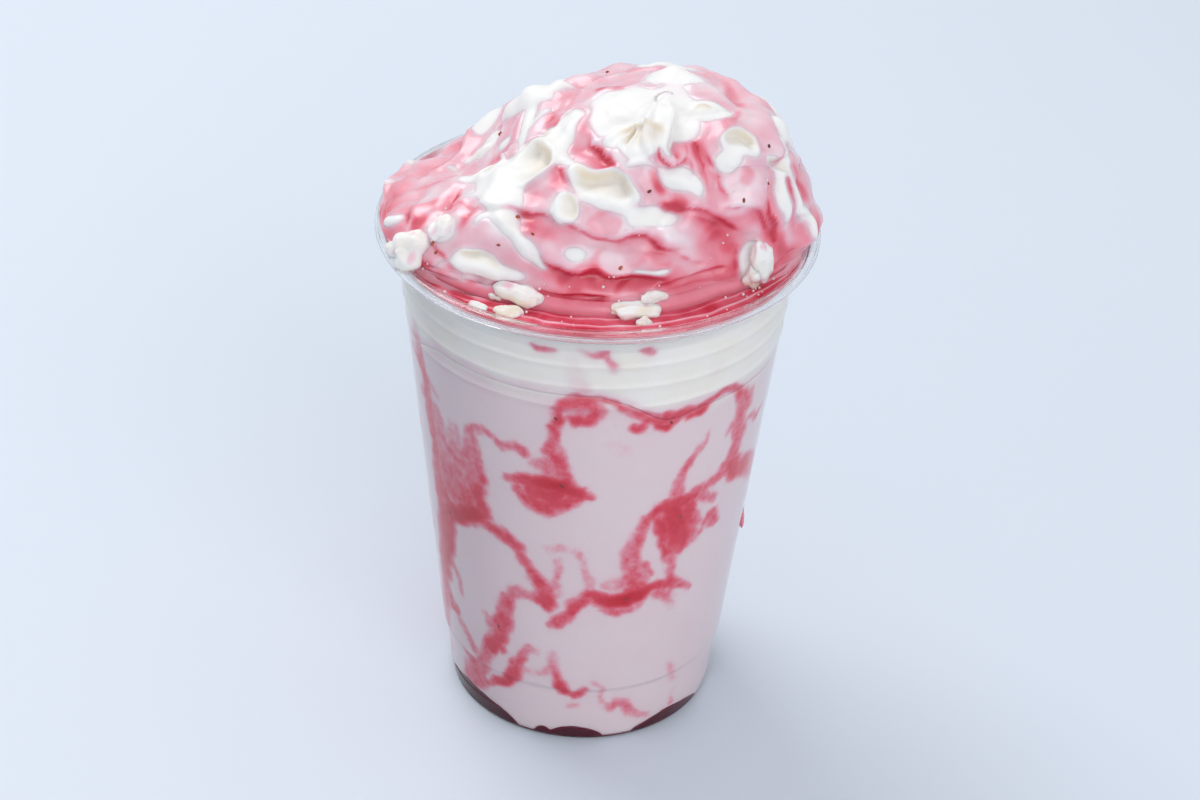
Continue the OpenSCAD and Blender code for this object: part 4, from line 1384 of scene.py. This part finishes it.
def make_light(name, place, size, power, colour):
    """A soft square lamp that faces the drink."""
    lamp = bpy.data.lights.new(name, "AREA")
    lamp.shape = "SQUARE"
    lamp.size = size
    lamp.energy = power
    lamp.color = colour
    item = bpy.data.objects.new(name, lamp)
    item.location = place
    bpy.context.scene.collection.objects.link(item)
    look_at(item, MIDDLE)


def make_lights():
    """Daylight from above and behind, a weaker fill from the front, and a pale sky all round."""
    make_light("window", (-0.55, 0.65, 1.15), size=0.8, power=8.5, colour=(1.0, 0.985, 0.965))
    make_light("fill", (0.5, -1.1, 0.8), size=1.0, power=6.5, colour=(1.0, 0.99, 0.98))
    world = bpy.data.worlds.new("sky")
    world.use_nodes = True
    sky = world.node_tree.nodes["Background"]
    sky.inputs["Color"].default_value = (0.955, 0.975, 1.0, 1)
    sky.inputs["Strength"].default_value = 0.66
    bpy.context.scene.world = world
    bpy.context.scene.view_settings.view_transform = "Standard"


def swing(first, second, angle):
    """Two directions at right angles, both turned by an angle from the first towards the second."""
    turned = first * math.cos(angle) + second * math.sin(angle)
    return turned, second * math.cos(angle) - first * math.sin(angle)


def make_camera():
    """A camera in front of the drink that looks down on it, slightly rolled. Its direction is worked
    out by turning the view towards the drink's middle by a small pan, then a tilt, then a roll."""
    distance, target_z, elevation = 0.6515, 0.060, math.radians(34.28)
    pan, tilt, roll = (math.radians(angle) for angle in (0.19, 1.10, 2.36))
    right = Vector((1, 0, 0))
    ahead = Vector((0, math.cos(elevation), -math.sin(elevation)))
    up = right.cross(ahead)
    ahead, right = swing(ahead, right, pan)
    ahead, up = swing(ahead, up, tilt)
    right, up = swing(right, up, roll)
    lens = bpy.data.cameras.new("camera")
    lens.lens = 84.3
    lens.sensor_width = 36.0
    lens.clip_start = 0.01
    camera = bpy.data.objects.new("camera", lens)
    place = Vector((0, -distance * math.cos(elevation), target_z + distance * math.sin(elevation)))
    turn_matrix = Matrix((right, up, -ahead)).transposed()
    camera.matrix_world = Matrix.Translation(place) @ turn_matrix.to_4x4()
    bpy.context.scene.collection.objects.link(camera)
    bpy.context.scene.camera = camera


# --------------------------------------------------------------------------------------- the drink

CREAM = cream_finish()
POOL = pool_finish()
CLEAR = clear_plastic()
for mesh_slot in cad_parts["cup"].material_slots:
    mesh_slot.material = CLEAR

make_shake()
make_syrup()
make_cream()
make_glaze()
make_pool()
make_lumps()
make_seeds()
make_bubbles()
make_drip()
make_floor()
make_lights()
make_camera()
